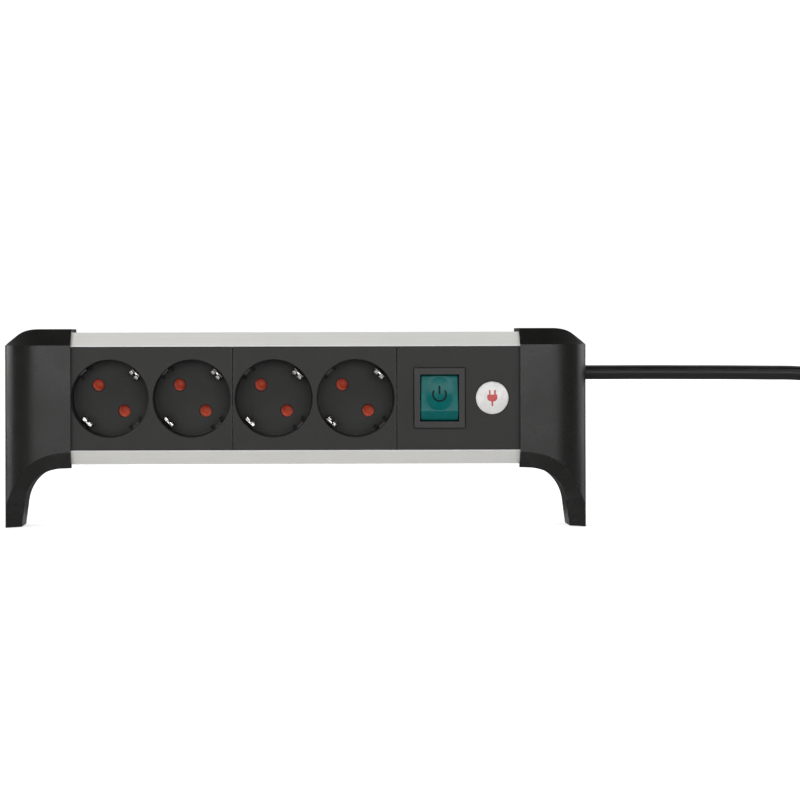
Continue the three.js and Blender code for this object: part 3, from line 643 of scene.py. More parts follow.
CAP_TOP_EDGE = 94.25  # top of the flat front
CAP_BEVEL = HEIGHT - CAP_TOP_EDGE
CAP_FLAT_TO = 127.7  # the front starts to curve back here
CAP_CURVE = (HALF_WIDTH - CAP_FLAT_TO, 14)
CAP_BACK_RADIUS = 4
CAP_POCKET_END = 128.3
LEG_INNER_X = 142
ARCH_SETBACK = 10.5  # how far back the crease along the arch goes on the curved front
ARCH_STEPS, CURVE_STEPS = 36, 40
CAP_UNDER, CAP_BACK_CHAMFER = -5, 2
CAP_PAST = HALF_WIDTH + 2  # tools run on to here, clear of the cap
CAP_EDGE_RADIUS = 0.45
SCREW_BORE = (4, 147, CAP_PAST)  # radius, from X, to X
SCREW_HOLE = (2.1, 120, 149)
CORD_HOLE = (6, 125, CAP_PAST)
FOOT_MARGIN = 1.2
UNDERSIDE_RELIEF = rectangle(CAP_LOW[0] - 1, -13.2, 118.5, CAP_BACK + 1)
POCKET_GAP, POCKET_LIP, POCKET_CORNER = 0.2, 7.4, 2
BEVEL_START, BEVEL_PAST, BEVEL_FRONT = 3, 2, 9  # how far the bevel's tool reaches past the cap
CREASE = bezier(
    [(CAP_LOW[0], 39.4), (139.4, 38.9), (143.4, 25.9), (HALF_WIDTH, 10.8)], ARCH_STEPS
)
ARCH = [
    (CAP_LOW[0], 31),
    *bezier([(121.5, 30.7), (132.5, 29.8), (139.2, 22), (140.4, 12.5)], ARCH_STEPS - 1),
]


def setback(x, start, run, reach):
    part = min(1, max(0, (x - start) / run))
    return reach * (1 - math.sqrt(1 - part * part))


def front_setback(x):
    return setback(x, CAP_FLAT_TO, *CAP_CURVE)


def cap_shell():
    turns = [math.pi / 2 * i / CURVE_STEPS for i in range(CURVE_STEPS + 1)]
    rings = []
    for x in [CAP_LOW[0], *(CAP_FLAT_TO + CAP_CURVE[0] * math.sin(a) for a in turns)]:
        front = CAP_FRONT + front_setback(x)
        round_from = HALF_WIDTH - CAP_BACK_RADIUS
        back = CAP_BACK - setback(x, round_from, CAP_BACK_RADIUS, CAP_BACK_RADIUS)
        rings.append([
            (x, front, CAP_UNDER),
            (x, front, CAP_TOP_EDGE),
            (x, front + CAP_BEVEL, HEIGHT),
            (x, back - CAP_BACK_CHAMFER, HEIGHT),
            (x, back, HEIGHT - CAP_BACK_CHAMFER),
            (x, back, CAP_UNDER),
        ])
    return loft("end_cap", rings)


def cap_front_outline():
    shoulder = bezier([(132, HEIGHT), (136.5, HEIGHT), (140, 101.9), (142.6, 100)], 16)
    return [
        (CAP_LOW[0] - 2, HEIGHT + 2),
        (126, HEIGHT + 2),
        *shoulder,
        (HALF_WIDTH, 94.1),
        (CAP_PAST, 92.5),
        (CAP_PAST, CAP_LOW[2]),
        (LEG_INNER_X, CAP_LOW[2]),
        *reversed(ARCH),
        (CAP_LOW[0] - 2, ARCH[0][1]),
    ]


def arch_bevel():
    """The wedge that the 45 degree bevel along the arch takes off the front of the cap."""
    start, front = CAP_LOW[0] - BEVEL_START, CAP_FRONT - BEVEL_FRONT
    outer = [(start, CREASE[0][1]), *CREASE, (HALF_WIDTH, 0), (HALF_WIDTH, -4)]
    inner = [(start, ARCH[0][1]), *ARCH, (LEG_INNER_X, 0), (LEG_INNER_X, -4)]
    rings = []
    for (x, z), (inner_x, inner_z) in zip(outer, inner):
        width = math.hypot(inner_x - x, inner_z - z)
        step_x, step_z = (inner_x - x) / width, (inner_z - z) / width
        depth = CAP_FRONT + min(ARCH_SETBACK, front_setback(x))
        past = width + BEVEL_PAST
        corners = [(-BEVEL_START, depth - BEVEL_START), (past, depth + past)]
        corners += [(past, front), (-BEVEL_START, front)]
        rings.append([(x + along * step_x, y, z + along * step_z) for along, y in corners])
    return loft("arch_bevel", rings)


def profile_pocket():
    """The socket in the cap that the end of the aluminium profile sits in."""
    low, high = PROFILE_LOW, PROFILE_HIGH
    gap, lip, corner = POCKET_GAP, POCKET_LIP, POCKET_CORNER
    upper = [
        (low[1] - gap, high[2] - lip),
        (low[1] + lip, high[2] + gap),
        (high[1] - corner, high[2] + gap),
        (high[1] + gap, high[2] - corner),
    ]
    lower = [(y, 2 * AXIS_Z - z) for y, z in reversed(upper)]
    return prism("pocket", "x", [*upper, *lower], CAP_LOW[0] - 2, CAP_POCKET_END)


def foot_outline(margin):
    corner = margin * math.tan(math.pi / 8)
    return [
        (HALF_WIDTH - margin, CAP_FRONT + CAP_CURVE[1] + margin + 2 * corner),
        (HALF_WIDTH - margin, CAP_BACK - CAP_BACK_RADIUS),
        (LEG_INNER_X + margin, CAP_BACK - CAP_BACK_RADIUS),
        (LEG_INNER_X + margin, CAP_FRONT + CAP_CURVE[1] + 8 + corner),
    ]


def end_cap(side):
    outline = prism("outline", "y", cap_front_outline(), CAP_FRONT - 5, CAP_BACK + 5)
    cap = combined("INTERSECT", cap_shell(), outline)
    minus(cap, arch_bevel(), profile_pocket())
    minus(cap, prism("recess", "z", foot_outline(FOOT_MARGIN), -1, CAP_LOW[2] + 1))
    minus(cap, prism("relief", "z", UNDERSIDE_RELIEF, 30, PROFILE_LOW[2] + POCKET_GAP))
    for level in ("upper", "lower"):
        place = middle(*box_mm(f"right_cap_screw_{level}"))
        place[0] = 0
        minus(cap, cylinder("bore", "x", *SCREW_BORE, place, 48))
        minus(cap, cylinder("hole", "x", *SCREW_HOLE, place, 32))
    if side == "right":
        place = middle(*box_mm("cord_strain_relief"))
        place[0] = 0
        minus(cap, cylinder("cord_hole", "x", *CORD_HOLE, place, 64))
    rounded(cleaned(cap, 0.2), CAP_EDGE_RADIUS, 3, 24)
    if side == "left":
        cap.data.transform(Matrix.Scale(-1, 4, (1, 0, 0)))
        cap.data.flip_normals()
    smoothed(cap, 24)
    cap.name = f"{side}_cap_finished"
    return settled(cap, f"{side}_end_cap")


# ---- front modules

WELL_RADIUS = 19.85
WELL_WALL = 1
WELL_FLOOR, WELL_BACK = -3.65, -1.65
WELL_FILLET, WELL_CHAMFER = 0.9, 0.55
PIN_OFFSET = 9.5 * math.sqrt(0.5)
PIN_HOLE_RADIUS, PIN_HOLE_CHAMFER = 3.15, 0.4
MARK_RADII, MARK_DEPTH = (2.9, 3.25), 0.1  # the round moulding marks on the floor
RIB_HALF = [(18.7, 1.8), (18.9, 2), (20.6, 2)]  # (distance from the middle, half width)
# distance from the middle, distance across, half size along and across
NOTCH, NOTCH_BACK = (18.35, 3.15, 1.15, 1), -1.95
CLIP_SLOT = (17.95, 0, 0.75, 3.2)
DIAGONAL = math.pi / 4
# (y, height above the middle) of a module's section, upper half
MODULE_HALF = [(FACE_Y, 26.3), (-16.2, 26.3), (-16.2, 28.3), (-14.2, 28.3), (-14.2, 24), (-18.5, 24)]


def socket_centre(i):
    return middle(*box_mm(f"shutter_{i}"))[0]


def module_body(node):
    lower = [(y, -z) for y, z in reversed(MODULE_HALF)]
    (start, _, _), (end, _, _) = box_mm(node)
    outline = shifted([*MODULE_HALF, *lower], 0, AXIS_Z)
    return prism(f"{node}_finished", "x", outline, start, end)


def well_tool(x):
    """The inside of a well: a fillet at the floor and a small chamfer at the rim."""
    u, v = WELL_RADIUS - WELL_FILLET, WELL_FLOOR - WELL_FILLET
    angles = [math.pi / 2 * k / 5 for k in range(6)]
    rim = WELL_RADIUS + WELL_CHAMFER
    profile = [
        (0, WELL_FLOOR),
        *((u + WELL_FILLET * math.sin(a), v + WELL_FILLET * math.cos(a)) for a in angles),
        (WELL_RADIUS, FACE_Y + 0.35),
        (rim, FACE_Y - 0.2),
        (rim, FACE_Y - 2),
        (0, FACE_Y - 2),
    ]
    return lathe("well", "y", profile, (x, 0, AXIS_Z), 96)


def diagonal_block(x, place, sides, angle, start, end):
    """A block at a place in a socket, on the given sides of its middle, turned by an angle."""
    radius, across, half_radius, half_across = place
    outline = centred(sides[0] * radius, sides[1] * across, half_radius, half_across)
    return prism("block", "y", shifted(turned_by(outline, angle), x, AXIS_Z), start, end)


def add_rib(body, x, side):
    """A keyed rib down the wall of a well, with a notch in the floor at each of its sides."""
    rib = [*RIB_HALF, *((u, -v) for u, v in reversed(RIB_HALF))]
    rib = turned_by([(side * u, v) for u, v in rib], -DIAGONAL)
    plus(body, prism("rib", "y", shifted(rib, x, AXIS_Z), FACE_Y + 0.9, WELL_FLOOR + 0.5))
    for edge in (-1, 1):
        sides = (side, edge)
        minus(body, diagonal_block(x, NOTCH, sides, -DIAGONAL, WELL_FLOOR - 0.5, NOTCH_BACK))


def with_well(body, x):
    wall, back = WELL_RADIUS + WELL_WALL, WELL_BACK + 1
    plus(body, cylinder("cup", "y", wall, FACE_Y + 1, WELL_BACK, (x, 0, AXIS_Z), 96))
    minus(body, well_tool(x))
    hole, opening = PIN_HOLE_RADIUS, PIN_HOLE_RADIUS + PIN_HOLE_CHAMFER
    edge = (opening, WELL_FLOOR - 0.1), (hole, WELL_FLOOR + 0.3)
    pin = [(0, -5), (opening, -5), *edge, (hole, 0), (0, 0)]
    mark = rectangle(MARK_RADII[0], WELL_FLOOR - 1, MARK_RADII[1], WELL_FLOOR + MARK_DEPTH)
    for side in (-1, 1):
        add_rib(body, x, side)
        minus(body, diagonal_block(x, CLIP_SLOT, (side, 1), DIAGONAL, WELL_FLOOR - 1, back))
        along = side * PIN_OFFSET
        minus(body, lathe("pin_hole", "y", pin, (x + along, 0, AXIS_Z - along), 40))
        minus(body, ring_tool(mark, (x + along, 0, AXIS_Z + along)))


def ring_tool(profile, centre, segments=40):
    """A ring turned about Y, whose profile of (radius, y) keeps clear of the axis."""
    angles = [2 * math.pi * i / segments for i in range(segments)]
    rings = [[(r * math.cos(a), y, r * math.sin(a)) for r, y in profile] for a in angles]
    return loft("ring", [moved(ring, centre) for ring in rings], closed=True)


def socket_module(node, sockets):
    body = module_body(node)
    for i in sockets:
        with_well(body, socket_centre(i))
    return finished(body, node, 0.12)


BEZEL_GAP = 0.35  # shadow line round the bezel
SWITCH_CUTOUT_HALF = (11.9, 14.3)
BADGE_SEAT_RADIUS = 8.75


def switch_module():
    body = module_body("switch_panel")
    x, _, z = middle(BEZEL_LOW, BEZEL_HIGH)
    minus(body, prism("cutout", "y", centred(x, z, *SWITCH_CUTOUT_HALF), -25, -10))
    half_x, half_z = (BEZEL_HIGH[0] - BEZEL_LOW[0]) / 2, (BEZEL_HIGH[2] - BEZEL_LOW[2]) / 2
    groove = centred(x, z, half_x + BEZEL_GAP, half_z + BEZEL_GAP)
    minus(body, prism("groove", "y", groove, -25, FACE_Y + 0.7))
    x, _, z = middle(BADGE_LOW, BADGE_HIGH)
    minus(body, cylinder("seat", "y", BADGE_SEAT_RADIUS, -25, FACE_Y + 0.8, (x, 0, z), 96))
    return finished(body, "switch_panel", 0.15)


# ---- shutters

SHUTTER_HALF, SHUTTER_RADIUS, SHUTTER_BORE_RADIUS = 9.5, 4.2, 1.6
SHUTTER_DISH_RADIUS, SHUTTER_DISH_SHIFT, SHUTTER_DISH_LIFT = 4.6, 0.9, 3.5


def shutter(i):
    """A two-ended blade with a hollow where each pin meets it."""
    low, high = box_mm(f"shutter_{i}")
    x, _, z = middle(low, high)
    outline = shifted(turned_by(stadium(SHUTTER_HALF, SHUTTER_RADIUS), -DIAGONAL), x, z)
    body = prism(f"shutter_{i}_finished", "y", outline, low[1], high[1])
    start, end = low[1] - 1, high[1] + 1
    minus(body, cylinder("bore", "y", SHUTTER_BORE_RADIUS, start, end, (x, 0, z), 32))
    radius = SHUTTER_DISH_RADIUS
    angles = [math.pi * k / 24 for k in range(1, 24)]
    arc = [(radius * math.sin(a), -radius * math.cos(a)) for a in angles]
    for side in (-1, 1):
        shift = side * PIN_OFFSET
        place = (x + shift, low[1] - SHUTTER_DISH_LIFT, z - shift)
        place = moved([place], (SHUTTER_DISH_SHIFT, 0, SHUTTER_DISH_SHIFT))[0]
        minus(body, lathe("dish", "y", [(0, -radius), *arc, (0, radius)], place, 40))
    return finished(body, f"shutter_{i}", 0.15, smooth=35)


# ---- earth clips

CLIP_THICKNESS = 0.6
CLIP_ARM = 17.9  # distance of the fingers from the middle of the socket
CLIP_BULGE = 15.4
CLIP_SHOULDER = (18.3, -10.4, 2.9)  # centre and radius of the rounded lead-in
CLIP_CORNER = 0.8
FINGER_ACROSS, FINGER_HALF, STRAP_HALF = 1.75, 1.05, 2.8


def strip(name, x, path, across, half_widths):
    """A bent metal strip along the clip's diagonal, from (distance from the middle, y) points."""
    c = math.sqrt(0.5)
    rings = []
    for k, (r, y) in enumerate(path):
        before, after = Vector(path[max(0, k - 1)]), Vector(path[min(len(path) - 1, k + 1)])
        along = (after - before).normalized() * CLIP_THICKNESS / 2
        edges = [(r - along.y, y + along.x), (r + along.y, y - along.x)]
        ts = (across - half_widths[k], across + half_widths[k])
        corners = [(*edges[0], ts[0]), (*edges[0], ts[1]), (*edges[1], ts[1]), (*edges[1], ts[0])]
        rings.append([(x + (u - t) * c, v, AXIS_Z + (u + t) * c) for u, v, t in corners])
    return loft(name, rings)


def earth_clip(i):
    """One strip behind the floor, bent forward at both ends into two sprung fingers each."""
    x = socket_centre(i)
    strap_y = box_mm(f"earth_clip_{i}")[1][1] - CLIP_THICKNESS / 2
    corner = (CLIP_ARM, strap_y - CLIP_CORNER), (CLIP_ARM - 0.25, strap_y - 0.25)
    right = [(CLIP_ARM, -5), *corner, (CLIP_ARM - CLIP_CORNER, strap_y)]
    path = [*((-r, y) for r, y in right), *reversed(right)]
    body = strip(f"earth_clip_{i}_finished", x, path, 0, [STRAP_HALF] * len(path))
    bend = bezier([(CLIP_ARM, -4.2), (CLIP_ARM, -6.6), (CLIP_BULGE, -7.8), (CLIP_BULGE, -10.4)], 10)
    r, y, radius = CLIP_SHOULDER
    angles = [math.radians(180 + 8 * k) for k in range(1, 11)]
    shoulder = [(r + radius * math.cos(a), y + radius * math.sin(a)) for a in angles]
    finger = [(CLIP_ARM, -3.6), *bend, *shoulder]
    widths = [FINGER_HALF] * (len(finger) - 3) + [1.0, 0.88, 0.65]  # narrower towards the tip
    for side in (-1, 1):
        for across in (-FINGER_ACROSS, FINGER_ACROSS):
            plus(body, strip("finger", x, [(side * u, v) for u, v in finger], across, widths))
    return finished(body, f"earth_clip_{i}", 0.1, smooth=40)


# ---- rocker

PIVOT_Y = -15.6
ROCKER_HALF_WIDTH = 9.7
ROCKER_X, _, ROCKER_Z = middle(BEZEL_LOW, BEZEL_HIGH)
ROCKER_PLACE = (ROCKER_X, PIVOT_Y, ROCKER_Z)
ROCKER_TOP, ROCKER_CREASE, ROCKER_BOTTOM = (-4.8, 11.8), (-7.3, -6.8), (-5, -11.8)
ROCKER_ROUNDING, ROCKER_BACK, ROCKER_FLARE = 0.7, -1.5, 1.045
CREASE_BLEND, DISH_BLEND = 0.25, 0.12
DISH_CENTRE_Z, DISH_HALF, DISH_DEPTH = 2.6, (6.8, 8.9), 1.1
AXLE_RADIUS, AXLE_CHAMFER = 1.3, 0.3
HUB_HALF, HUB_HALF_WIDTH = (2.2, 4.5), 9.2


def soft_max(a, b, blend):
    return (a + b + math.sqrt((a - b) ** 2 + blend * blend)) / 2


def rocker_front(x, z):
    """Y of the rocker's face, from its pivot, at x and z from its middle."""
    above = (ROCKER_TOP[0] - ROCKER_CREASE[0]) / (ROCKER_TOP[1] - ROCKER_CREASE[1])
    below = (ROCKER_BOTTOM[0] - ROCKER_CREASE[0]) / (ROCKER_BOTTOM[1] - ROCKER_CREASE[1])
    rise = z - ROCKER_CREASE[1]
    face = ROCKER_CREASE[0] + soft_max(above * rise, below * rise, CREASE_BLEND)
    oval = (x / DISH_HALF[0]) ** 2 + ((z - DISH_CENTRE_Z) / DISH_HALF[1]) ** 2
    dish = DISH_DEPTH * soft_max(0, 1 - oval, DISH_BLEND)
    radius = ROCKER_ROUNDING
    rim = max(0, abs(x) - (ROCKER_HALF_WIDTH - radius)) / radius
    ends = max(0, z - (ROCKER_TOP[1] - radius), (ROCKER_BOTTOM[1] + radius) - z) / radius
    edge = radius * (1 - math.sqrt(max(0, 1 - min(1, rim * rim + ends * ends))))
    return face + dish + edge


def spread(low, high, count, crowd=0.7, fine=5):
    """Even steps with a few closer ones at both ends."""
    ends = [crowd * (1 - math.cos(math.pi / 2 * k / fine)) for k in range(fine)]
    inner = [low + crowd + (high - low - 2 * crowd) * k / count for k in range(count + 1)]
    return [*(low + e for e in ends), *inner, *(high - e for e in reversed(ends))]


def rocker_shell():
    """The rocker's curved face and the straight sides and back behind it."""
    xs = spread(-ROCKER_HALF_WIDTH, ROCKER_HALF_WIDTH, 44)
    zs = spread(ROCKER_BOTTOM[1], ROCKER_TOP[1], 56)
    columns, rows = len(xs), len(zs)
    vertices = [(x, rocker_front(x, z), z) for z in zs for x in xs]
    faces = []
    for first in (j * columns + i for j in range(rows - 1) for i in range(columns - 1)):
        faces.append((first, first + 1, first + columns + 1, first + columns))
    rim = [
        *((i, 0) for i in range(columns)),
        *((columns - 1, j) for j in range(1, rows)),
        *((i, rows - 1) for i in range(columns - 2, -1, -1)),
        *((0, j) for j in range(rows - 2, 0, -1)),
    ]
    back = range(len(vertices), len(vertices) + len(rim))
    for a, (i, j) in enumerate(rim):
        flare = ROCKER_FLARE if j in (0, rows - 1) else 1
        vertices.append((xs[i], ROCKER_BACK, zs[j] * flare))
        b = (a + 1) % len(rim)
        faces.append((j * columns + i, rim[b][1] * columns + rim[b][0], back[b], back[a]))
    faces.append(tuple(back))
    return from_faces("rocker_finished", moved(vertices, ROCKER_PLACE), faces)


def rocker():
    body = rocker_shell()
    (start, _, _), (end, _, _) = box_mm("rocker")
    inner, chamfer = AXLE_RADIUS - AXLE_CHAMFER, AXLE_CHAMFER
    tip = [(AXLE_RADIUS, end - chamfer), (inner, end), (0, end)]
    axle = [(0, start), (inner, start), (AXLE_RADIUS, start + chamfer), *tip]
    hub = centred(PIVOT_Y - 0.4, ROCKER_Z, *HUB_HALF)
    plus(body, prism("hub", "x", hub, ROCKER_X - HUB_HALF_WIDTH, ROCKER_X + HUB_HALF_WIDTH))
    plus(body, lathe("axle", "x", axle, (0, PIVOT_Y, ROCKER_Z), 32))
    return settled(smoothed(body, 40), "rocker")


PRINT_THICKNESS = 0.15


def printed(name, strips, surface, lift, place):
    """Thin closed patches on a surface y(x, z); each strip is a list of (left, right) points."""
    vertices, faces = [], []
    for strip in strips:
        first = len(vertices)
        for pair in strip:
            for x, z in pair:
                y = surface(x, z) - lift
                vertices += [(x, y, z), (x, y + PRINT_THICKNESS, z)]
        last = first + 4 * (len(strip) - 1)
        for a in range(first, last, 4):
            b = a + 4
            faces += [(a, a + 2, b + 2, b), (a + 1, b + 1, b + 3, a + 3)]
            faces += [(a, b, b + 1, a + 1), (a + 2, a + 3, b + 3, b + 2)]
        faces += [(first, first + 1, first + 3, first + 2), (last, last + 2, last + 3, last + 1)]
    return from_faces(name, moved(vertices, place), faces)


def arc_strip(x, z, radius, width, start, end, count=40):
    strip = []
    for k in range(count + 1):
        angle = math.radians(start + (end - start) * k / count)
        c, s = math.cos(angle), math.sin(angle)
        radii = (radius - width / 2, radius + width / 2)
        strip.append([(x + r * c, z + r * s) for r in radii])
    return strip


def bar_strip(x, z0, z1, width, count=10):
    return [
        [(x - width / 2, z), (x + width / 2, z)]
        for z in (z0 + (z1 - z0) * k / count for k in range(count + 1))
    ]


def rocker_symbol():
    """The standard on-off sign, printed in the dish."""
    strips = [arc_strip(0, 1.8, 3.35, 0.9, 142, 398), bar_strip(0, 1.9, 6.3, 1.0)]
    obj = printed("rocker_symbol", strips, rocker_front, 0.05, ROCKER_PLACE)
    give(obj, "symbol")
    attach(obj, "rocker")
    return obj


# ---- badge

BADGE_RADIUS = (BADGE_HIGH[0] - BADGE_LOW[0]) / 2
BADGE_DOME, BADGE_DOME_PART = 0.42, 0.955  # height of the dome, and its share of the radius
ICON_HALF, ICON_TOP, ICON_HEIGHT, ICON_SHOULDER = 2.6, 1.7, 3.6, 0.45


def badge_front(x, z):
    """Y of the badge's domed face at x and z from its middle."""
    part = math.hypot(x, z) / BADGE_RADIUS
    return BADGE_LOW[1] + BADGE_DOME * part * part


def badge():
    x, _, z = middle(BADGE_LOW, BADGE_HIGH)
    back, radius = BADGE_HIGH[1], BADGE_RADIUS
    radii = [radius * k / 12 * BADGE_DOME_PART for k in range(13)]
    dome = [(r, badge_front(r, 0)) for r in radii]
    rim = dome[-1][1]
    side = [(radius - 0.12, rim + 0.12), (radius, rim + 0.35), (radius, back), (0, back)]
    body = lathe("badge_finished", "y", [*dome, *side], (x, 0, z), 96)
    return settled(smoothed(body, 40), "badge_disc")


def badge_icon():
    """A plain plug pictogram: two prongs, a rounded body and a short lead."""
    body = []
    for part in (k / 16 for k in range(17)):
        z = ICON_TOP - ICON_HEIGHT * part
        past = max(0, part - ICON_SHOULDER) / 0.56
        half = ICON_HALF * math.sqrt(max(0.03, 1 - past * past))
        body.append([(-half, z), (half, z)])
    prongs = [bar_strip(side * 1.35, ICON_TOP, 4.0, 0.8) for side in (-1, 1)]
    strips = [body, *prongs, bar_strip(0, -4.2, -1.7, 0.8)]
    x, _, z = middle(BADGE_LOW, BADGE_HIGH)
    obj = printed("badge_icon", strips, badge_front, 0.07, (x, 0, z))
    give(obj, "icon")
    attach(obj, "housing")
    return obj


# ---- plug and strap

PLUG_PIN_RADIUS, PLUG_PIN_OFFSET = 2.65, 9.5
PLUG_NOTCH_HALF, PLUG_NOTCH_FROM = 3, 15.9


def plug_outline(x0, x1, radius):
    """Half the section of the plug: a ringed boot, a flare for the grip and a round nose."""
    boot = [(0, x0), (4.4, x0), (4.9, x0 + 0.5)]
    for k in range(5):
        start, swell = x0 + 1.5 + 3 * k, 5.0 + 0.28 * k
        groove = swell - 0.7
        boot += [(swell, start), (swell, start + 1.7), (groove, start + 2.0), (groove, start + 2.8)]
    flare = bezier([(6.4, x0 + 17), (6.8, x0 + 24), (17.4, x0 + 23), (17.8, x0 + 34)], 20)
    edge = [(radius, x1 - 0.8), (radius - 0.25, x1 - 0.25), (radius - 0.8, x1)]
    return [*boot, *flare, (radius, x0 + 36), *edge, (0, x1)]


def plug():
    """Round moulded plug with grip ribs, a ringed boot and a notch for each earth contact."""
    x0, x1 = PLUG_LOW[0], PLUG_HIGH[0]
    _, y, z = middle(PLUG_LOW, PLUG_HIGH)
    radius = (PLUG_HIGH[2] - PLUG_LOW[2]) / 2
    body = lathe("plug_finished", "x", plug_outline(x0, x1, radius), (0, y, z), 96)
    for side in (-1, 1):
        for k in range(6):
            groove = centred(x0 + 27.5 + 1.9 * k, y + side * (15.8 + 0.32 * k), 0.55, 0.9)
            minus(body, prism("groove", "z", groove, z - 7, z + 7))
        place = (0, y + side * PLUG_PIN_OFFSET, z)
        minus(body, cylinder("pin_hole", "x", PLUG_PIN_RADIUS, x1 - 5, x1 + 2, place, 32))
        notch = rectangle(x1 - 12, y - PLUG_NOTCH_HALF, x1 + 5, y + PLUG_NOTCH_HALF)
        level = sorted((z + side * PLUG_NOTCH_FROM, z + side * 20))
        minus(body, prism("notch", "z", notch, *level))
    return finished(body, "plug_body", 0.2, angle=40, smooth=35)


STRAP_THICKNESS, STRAP_ROUNDING, STRAP_EDGE, STRAP_PULL = 0.6, 3.6, 0.15, 0.12
STRAP_SAG, STRAP_SAG_REACH = 1.6, 18


def strap_line(x, inset):
    """The strap's line round the hank at x, that far inside its outer face."""
    _, y, z = middle(TIE_LOW, TIE_HIGH)
    half_y, half_z = (TIE_HIGH[1] - TIE_LOW[1]) / 2, (TIE_HIGH[2] - TIE_LOW[2]) / 2
    outline = round_rectangle(half_y - inset, half_z - inset, STRAP_ROUNDING - inset)
    line = []
    for (u0, v0), (u1, v1) in zip(outline, [*outline[1:], outline[0]]):
        for u, v in ((u0 + (u1 - u0) * k / 6, v0 + (v1 - v0) * k / 6) for k in range(6)):
            sag = STRAP_SAG * max(0, 1 - (u / STRAP_SAG_REACH) ** 2) if v > 0 else 0
            line.append((x, y + u, z + v - sag))
    return line


def strap():
    """A hook and loop strap round the hank, sagging a little between the two runs."""
    start, end = TIE_LOW[0], TIE_HIGH[0]
    between = [start + (end - start) * k / 8 for k in range(1, 8)]
    stations = [(start, STRAP_PULL)]
    stations += [(x, 0) for x in (start + STRAP_EDGE, *between, end - STRAP_EDGE)]
    stations.append((end, STRAP_PULL))
    outer = [strap_line(x, pull) for x, pull in stations]
    inner = [strap_line(x, STRAP_THICKNESS - pull) for x, pull in reversed(stations)]
    body = loft("strap_finished", list(zip(*outer, *inner)), closed=True)
    return settled(smoothed(body, 40), "hank_tie")


# ---- light and floor

KEY_PLACE, KEY_SIZE = (1.25, -1.75, 1.9), (0.9, 0.9)
KEY_POWERS = {-1: 27, 1: 13}  # stronger on the left
SIDE_PLACE, SIDE_SIZE, SIDE_POWER = (1.5, 0.35, 0.25), (1.0, 0.8), 8
FRONT_PLACE, FRONT_SIZE, FRONT_POWER = (0, -2.5, 0.35), (3.2, 0.7), 28
WORLD_SEEN = 1.05
WORLD_STOPS = [  # (direction, from 0 in front to 1 behind, brightness)
    *((0.0, 0.3), (0.08, 0.2), (0.15, 0.05), (0.35, 0.03), (0.5, 0.1)),
    *((0.7, 0.6), (0.88, 1.2), (0.965, 0.6), (0.99, 0.05)),
]
FLOOR_CORNERS = [(-9, -6, 0), (9, -6, 0), (9, 12, 0), (-9, 12, 0)]
FLOOR_PAPER = (0.86, 0.86, 0.86, 1)
FLOOR_GLOW = (0.5, 1.5, 0.6, 1.0)  # distance from, to; glow from, to
FLOOR_FADE = (-0.02, 0.12, 0.85, 0.08)  # Y from, to; brightness from, to


def seen_or_lit(tree, seen, lit):
    """One shader for what the camera sees directly and another for everything else."""
    rays = add_node(tree, "ShaderNodeLightPath").outputs["Is Camera Ray"]
    inputs = {"Fac": rays, 1: lit.outputs[0], 2: seen.outputs[0]}
    return add_node(tree, "ShaderNodeMixShader", inputs).outputs[0]


def make_world():
    """White for the camera. For the object dim in front and at the sides and bright at the back,
    apart from straight behind it."""
    world = bpy.data.worlds.new("studio")
    bpy.context.scene.world = world
    world.use_nodes = True
    tree = world.node_tree
    tree.nodes.clear()
    place = add_node(tree, "ShaderNodeTexCoord").outputs["Generated"]
    back = add_node(tree, "ShaderNodeSeparateXYZ", {0: place}).outputs["Y"]
    halved = {0: back, 1: 0.5, 2: 0.5}
    along = add_node(tree, "ShaderNodeMath", halved, operation="MULTIPLY_ADD")
    shades = add_node(tree, "ShaderNodeValToRGB", {"Fac": along.outputs[0]})
    ramp = shades.color_ramp.elements
    ramp[0].position, ramp[1].position = WORLD_STOPS[0][0], WORLD_STOPS[-1][0]
    for position, _ in WORLD_STOPS[1:-1]:
        ramp.new(position)
    for element, (_, value) in zip(ramp, WORLD_STOPS):
        element.color = (value, value, value, 1)
    lit = add_node(tree, "ShaderNodeBackground", {"Color": shades.outputs["Color"]})
    white = {"Color": (1, 1, 1, 1), "Strength": WORLD_SEEN}
    seen = add_node(tree, "ShaderNodeBackground", white)
    add_node(tree, "ShaderNodeOutputWorld", {"Surface": seen_or_lit(tree, seen, lit)})


def area_light(name, place, size, power, side=1):
    data = bpy.data.lights.new(name, "AREA")
    data.shape = "RECTANGLE"
    data.size, data.size_y = size
    data.energy = power
    light = new_object(name, data)
    light.location = (place[0] * side, *place[1:])
    towards = Vector((0, 0, AXIS_Z * MM)) - light.location
    light.rotation_euler = towards.to_track_quat("-Z", "Y").to_euler()


def make_lights():
    """Two high keys, one wide low front light behind the camera and a soft light at each end."""
    for side in (-1, 1):
        area_light(f"key_{side}", KEY_PLACE, KEY_SIZE, KEY_POWERS[side], side)
        area_light(f"side_{side}", SIDE_PLACE, SIDE_SIZE, SIDE_POWER, side)
    area_light("front", FRONT_PLACE, FRONT_SIZE, FRONT_POWER)


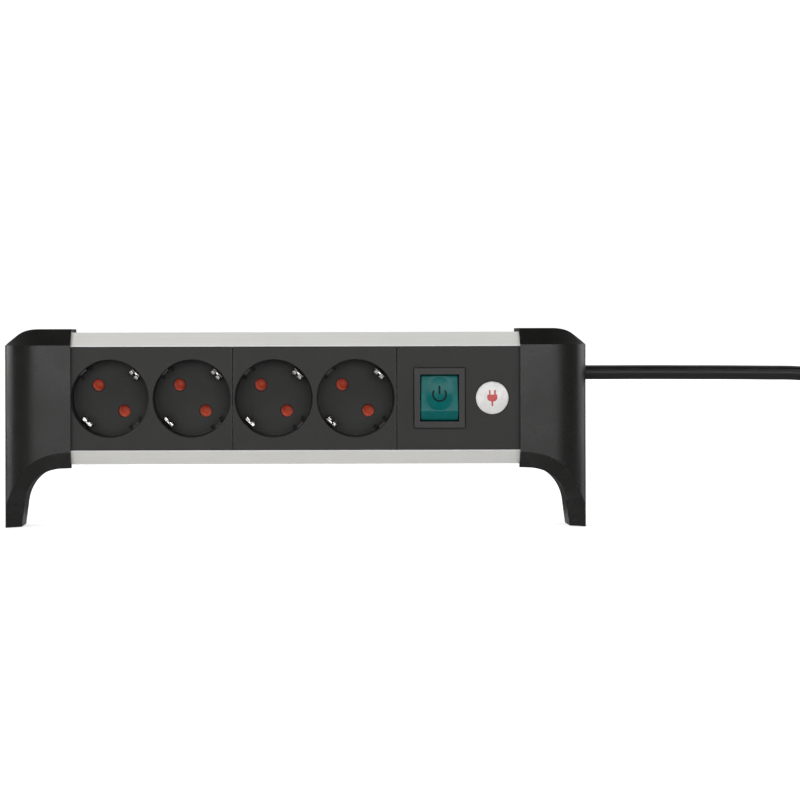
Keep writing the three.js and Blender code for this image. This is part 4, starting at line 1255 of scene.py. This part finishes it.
def make_floor():
    """A pale floor that burns out to white for the camera, apart from the shadow under the feet.

    In reflections and bounced light it is pale in front of the strip and dark behind it."""
    mesh = bpy.data.meshes.new("floor")
    mesh.from_pydata(FLOOR_CORNERS, [], [(0, 1, 2, 3)])
    floor = new_object("floor", mesh)
    material = bpy.data.materials.new("floor_paper")
    material.use_nodes = True
    tree = material.node_tree
    tree.nodes.clear()
    place = add_node(tree, "ShaderNodeTexCoord").outputs["Object"]
    away = add_node(tree, "ShaderNodeVectorMath", {0: place}, operation="LENGTH")
    strength = add_range(tree, away.outputs["Value"], *FLOOR_GLOW)
    glow = add_node(tree, "ShaderNodeEmission", {"Strength": strength})
    paper = add_node(tree, "ShaderNodeBsdfDiffuse", {"Color": FLOOR_PAPER})
    seen = add_node(tree, "ShaderNodeAddShader", {0: paper.outputs[0], 1: glow.outputs[0]})
    back = add_node(tree, "ShaderNodeSeparateXYZ", {0: place}).outputs["Y"]
    fade = add_range(tree, back, *FLOOR_FADE)
    lit = add_node(tree, "ShaderNodeBsdfDiffuse", {"Color": fade})
    add_node(tree, "ShaderNodeOutputMaterial", {"Surface": seen_or_lit(tree, seen, lit)})
    mesh.materials.append(material)


# ---- assembly

cord = make_cord()

for node, obj in frame["nodes"].items():
    give(obj, SLOT_OF[node])

end_cap("right")
end_cap("left")
socket_module("socket_insert_left", (1, 2))
socket_module("socket_insert_middle", (3, 4))
switch_module()
for number in range(1, 5):
    shutter(number)
    earth_clip(number)
refined("aluminium_profile", 0.45)
refined("switch_frame", 0.3)
for end in ("left", "right"):
    refined(f"{end}_rubber_foot", 0.3)
    for level in ("upper", "lower"):
        refined(f"{end}_cap_screw_{level}", 0.15, 2)
rocker()
rocker_symbol()
badge()
badge_icon()
plug_piece = plug()
strap_piece = strap()
pins = [refined(f"plug_pin_{i}", 0.3) for i in (1, 2)]
contacts = [refined(f"plug_earth_contact_{i}", 0.2, 2) for i in (1, 2)]

make_world()
make_lights()
make_floor()
bpy.context.scene.view_settings.view_transform = "Standard"
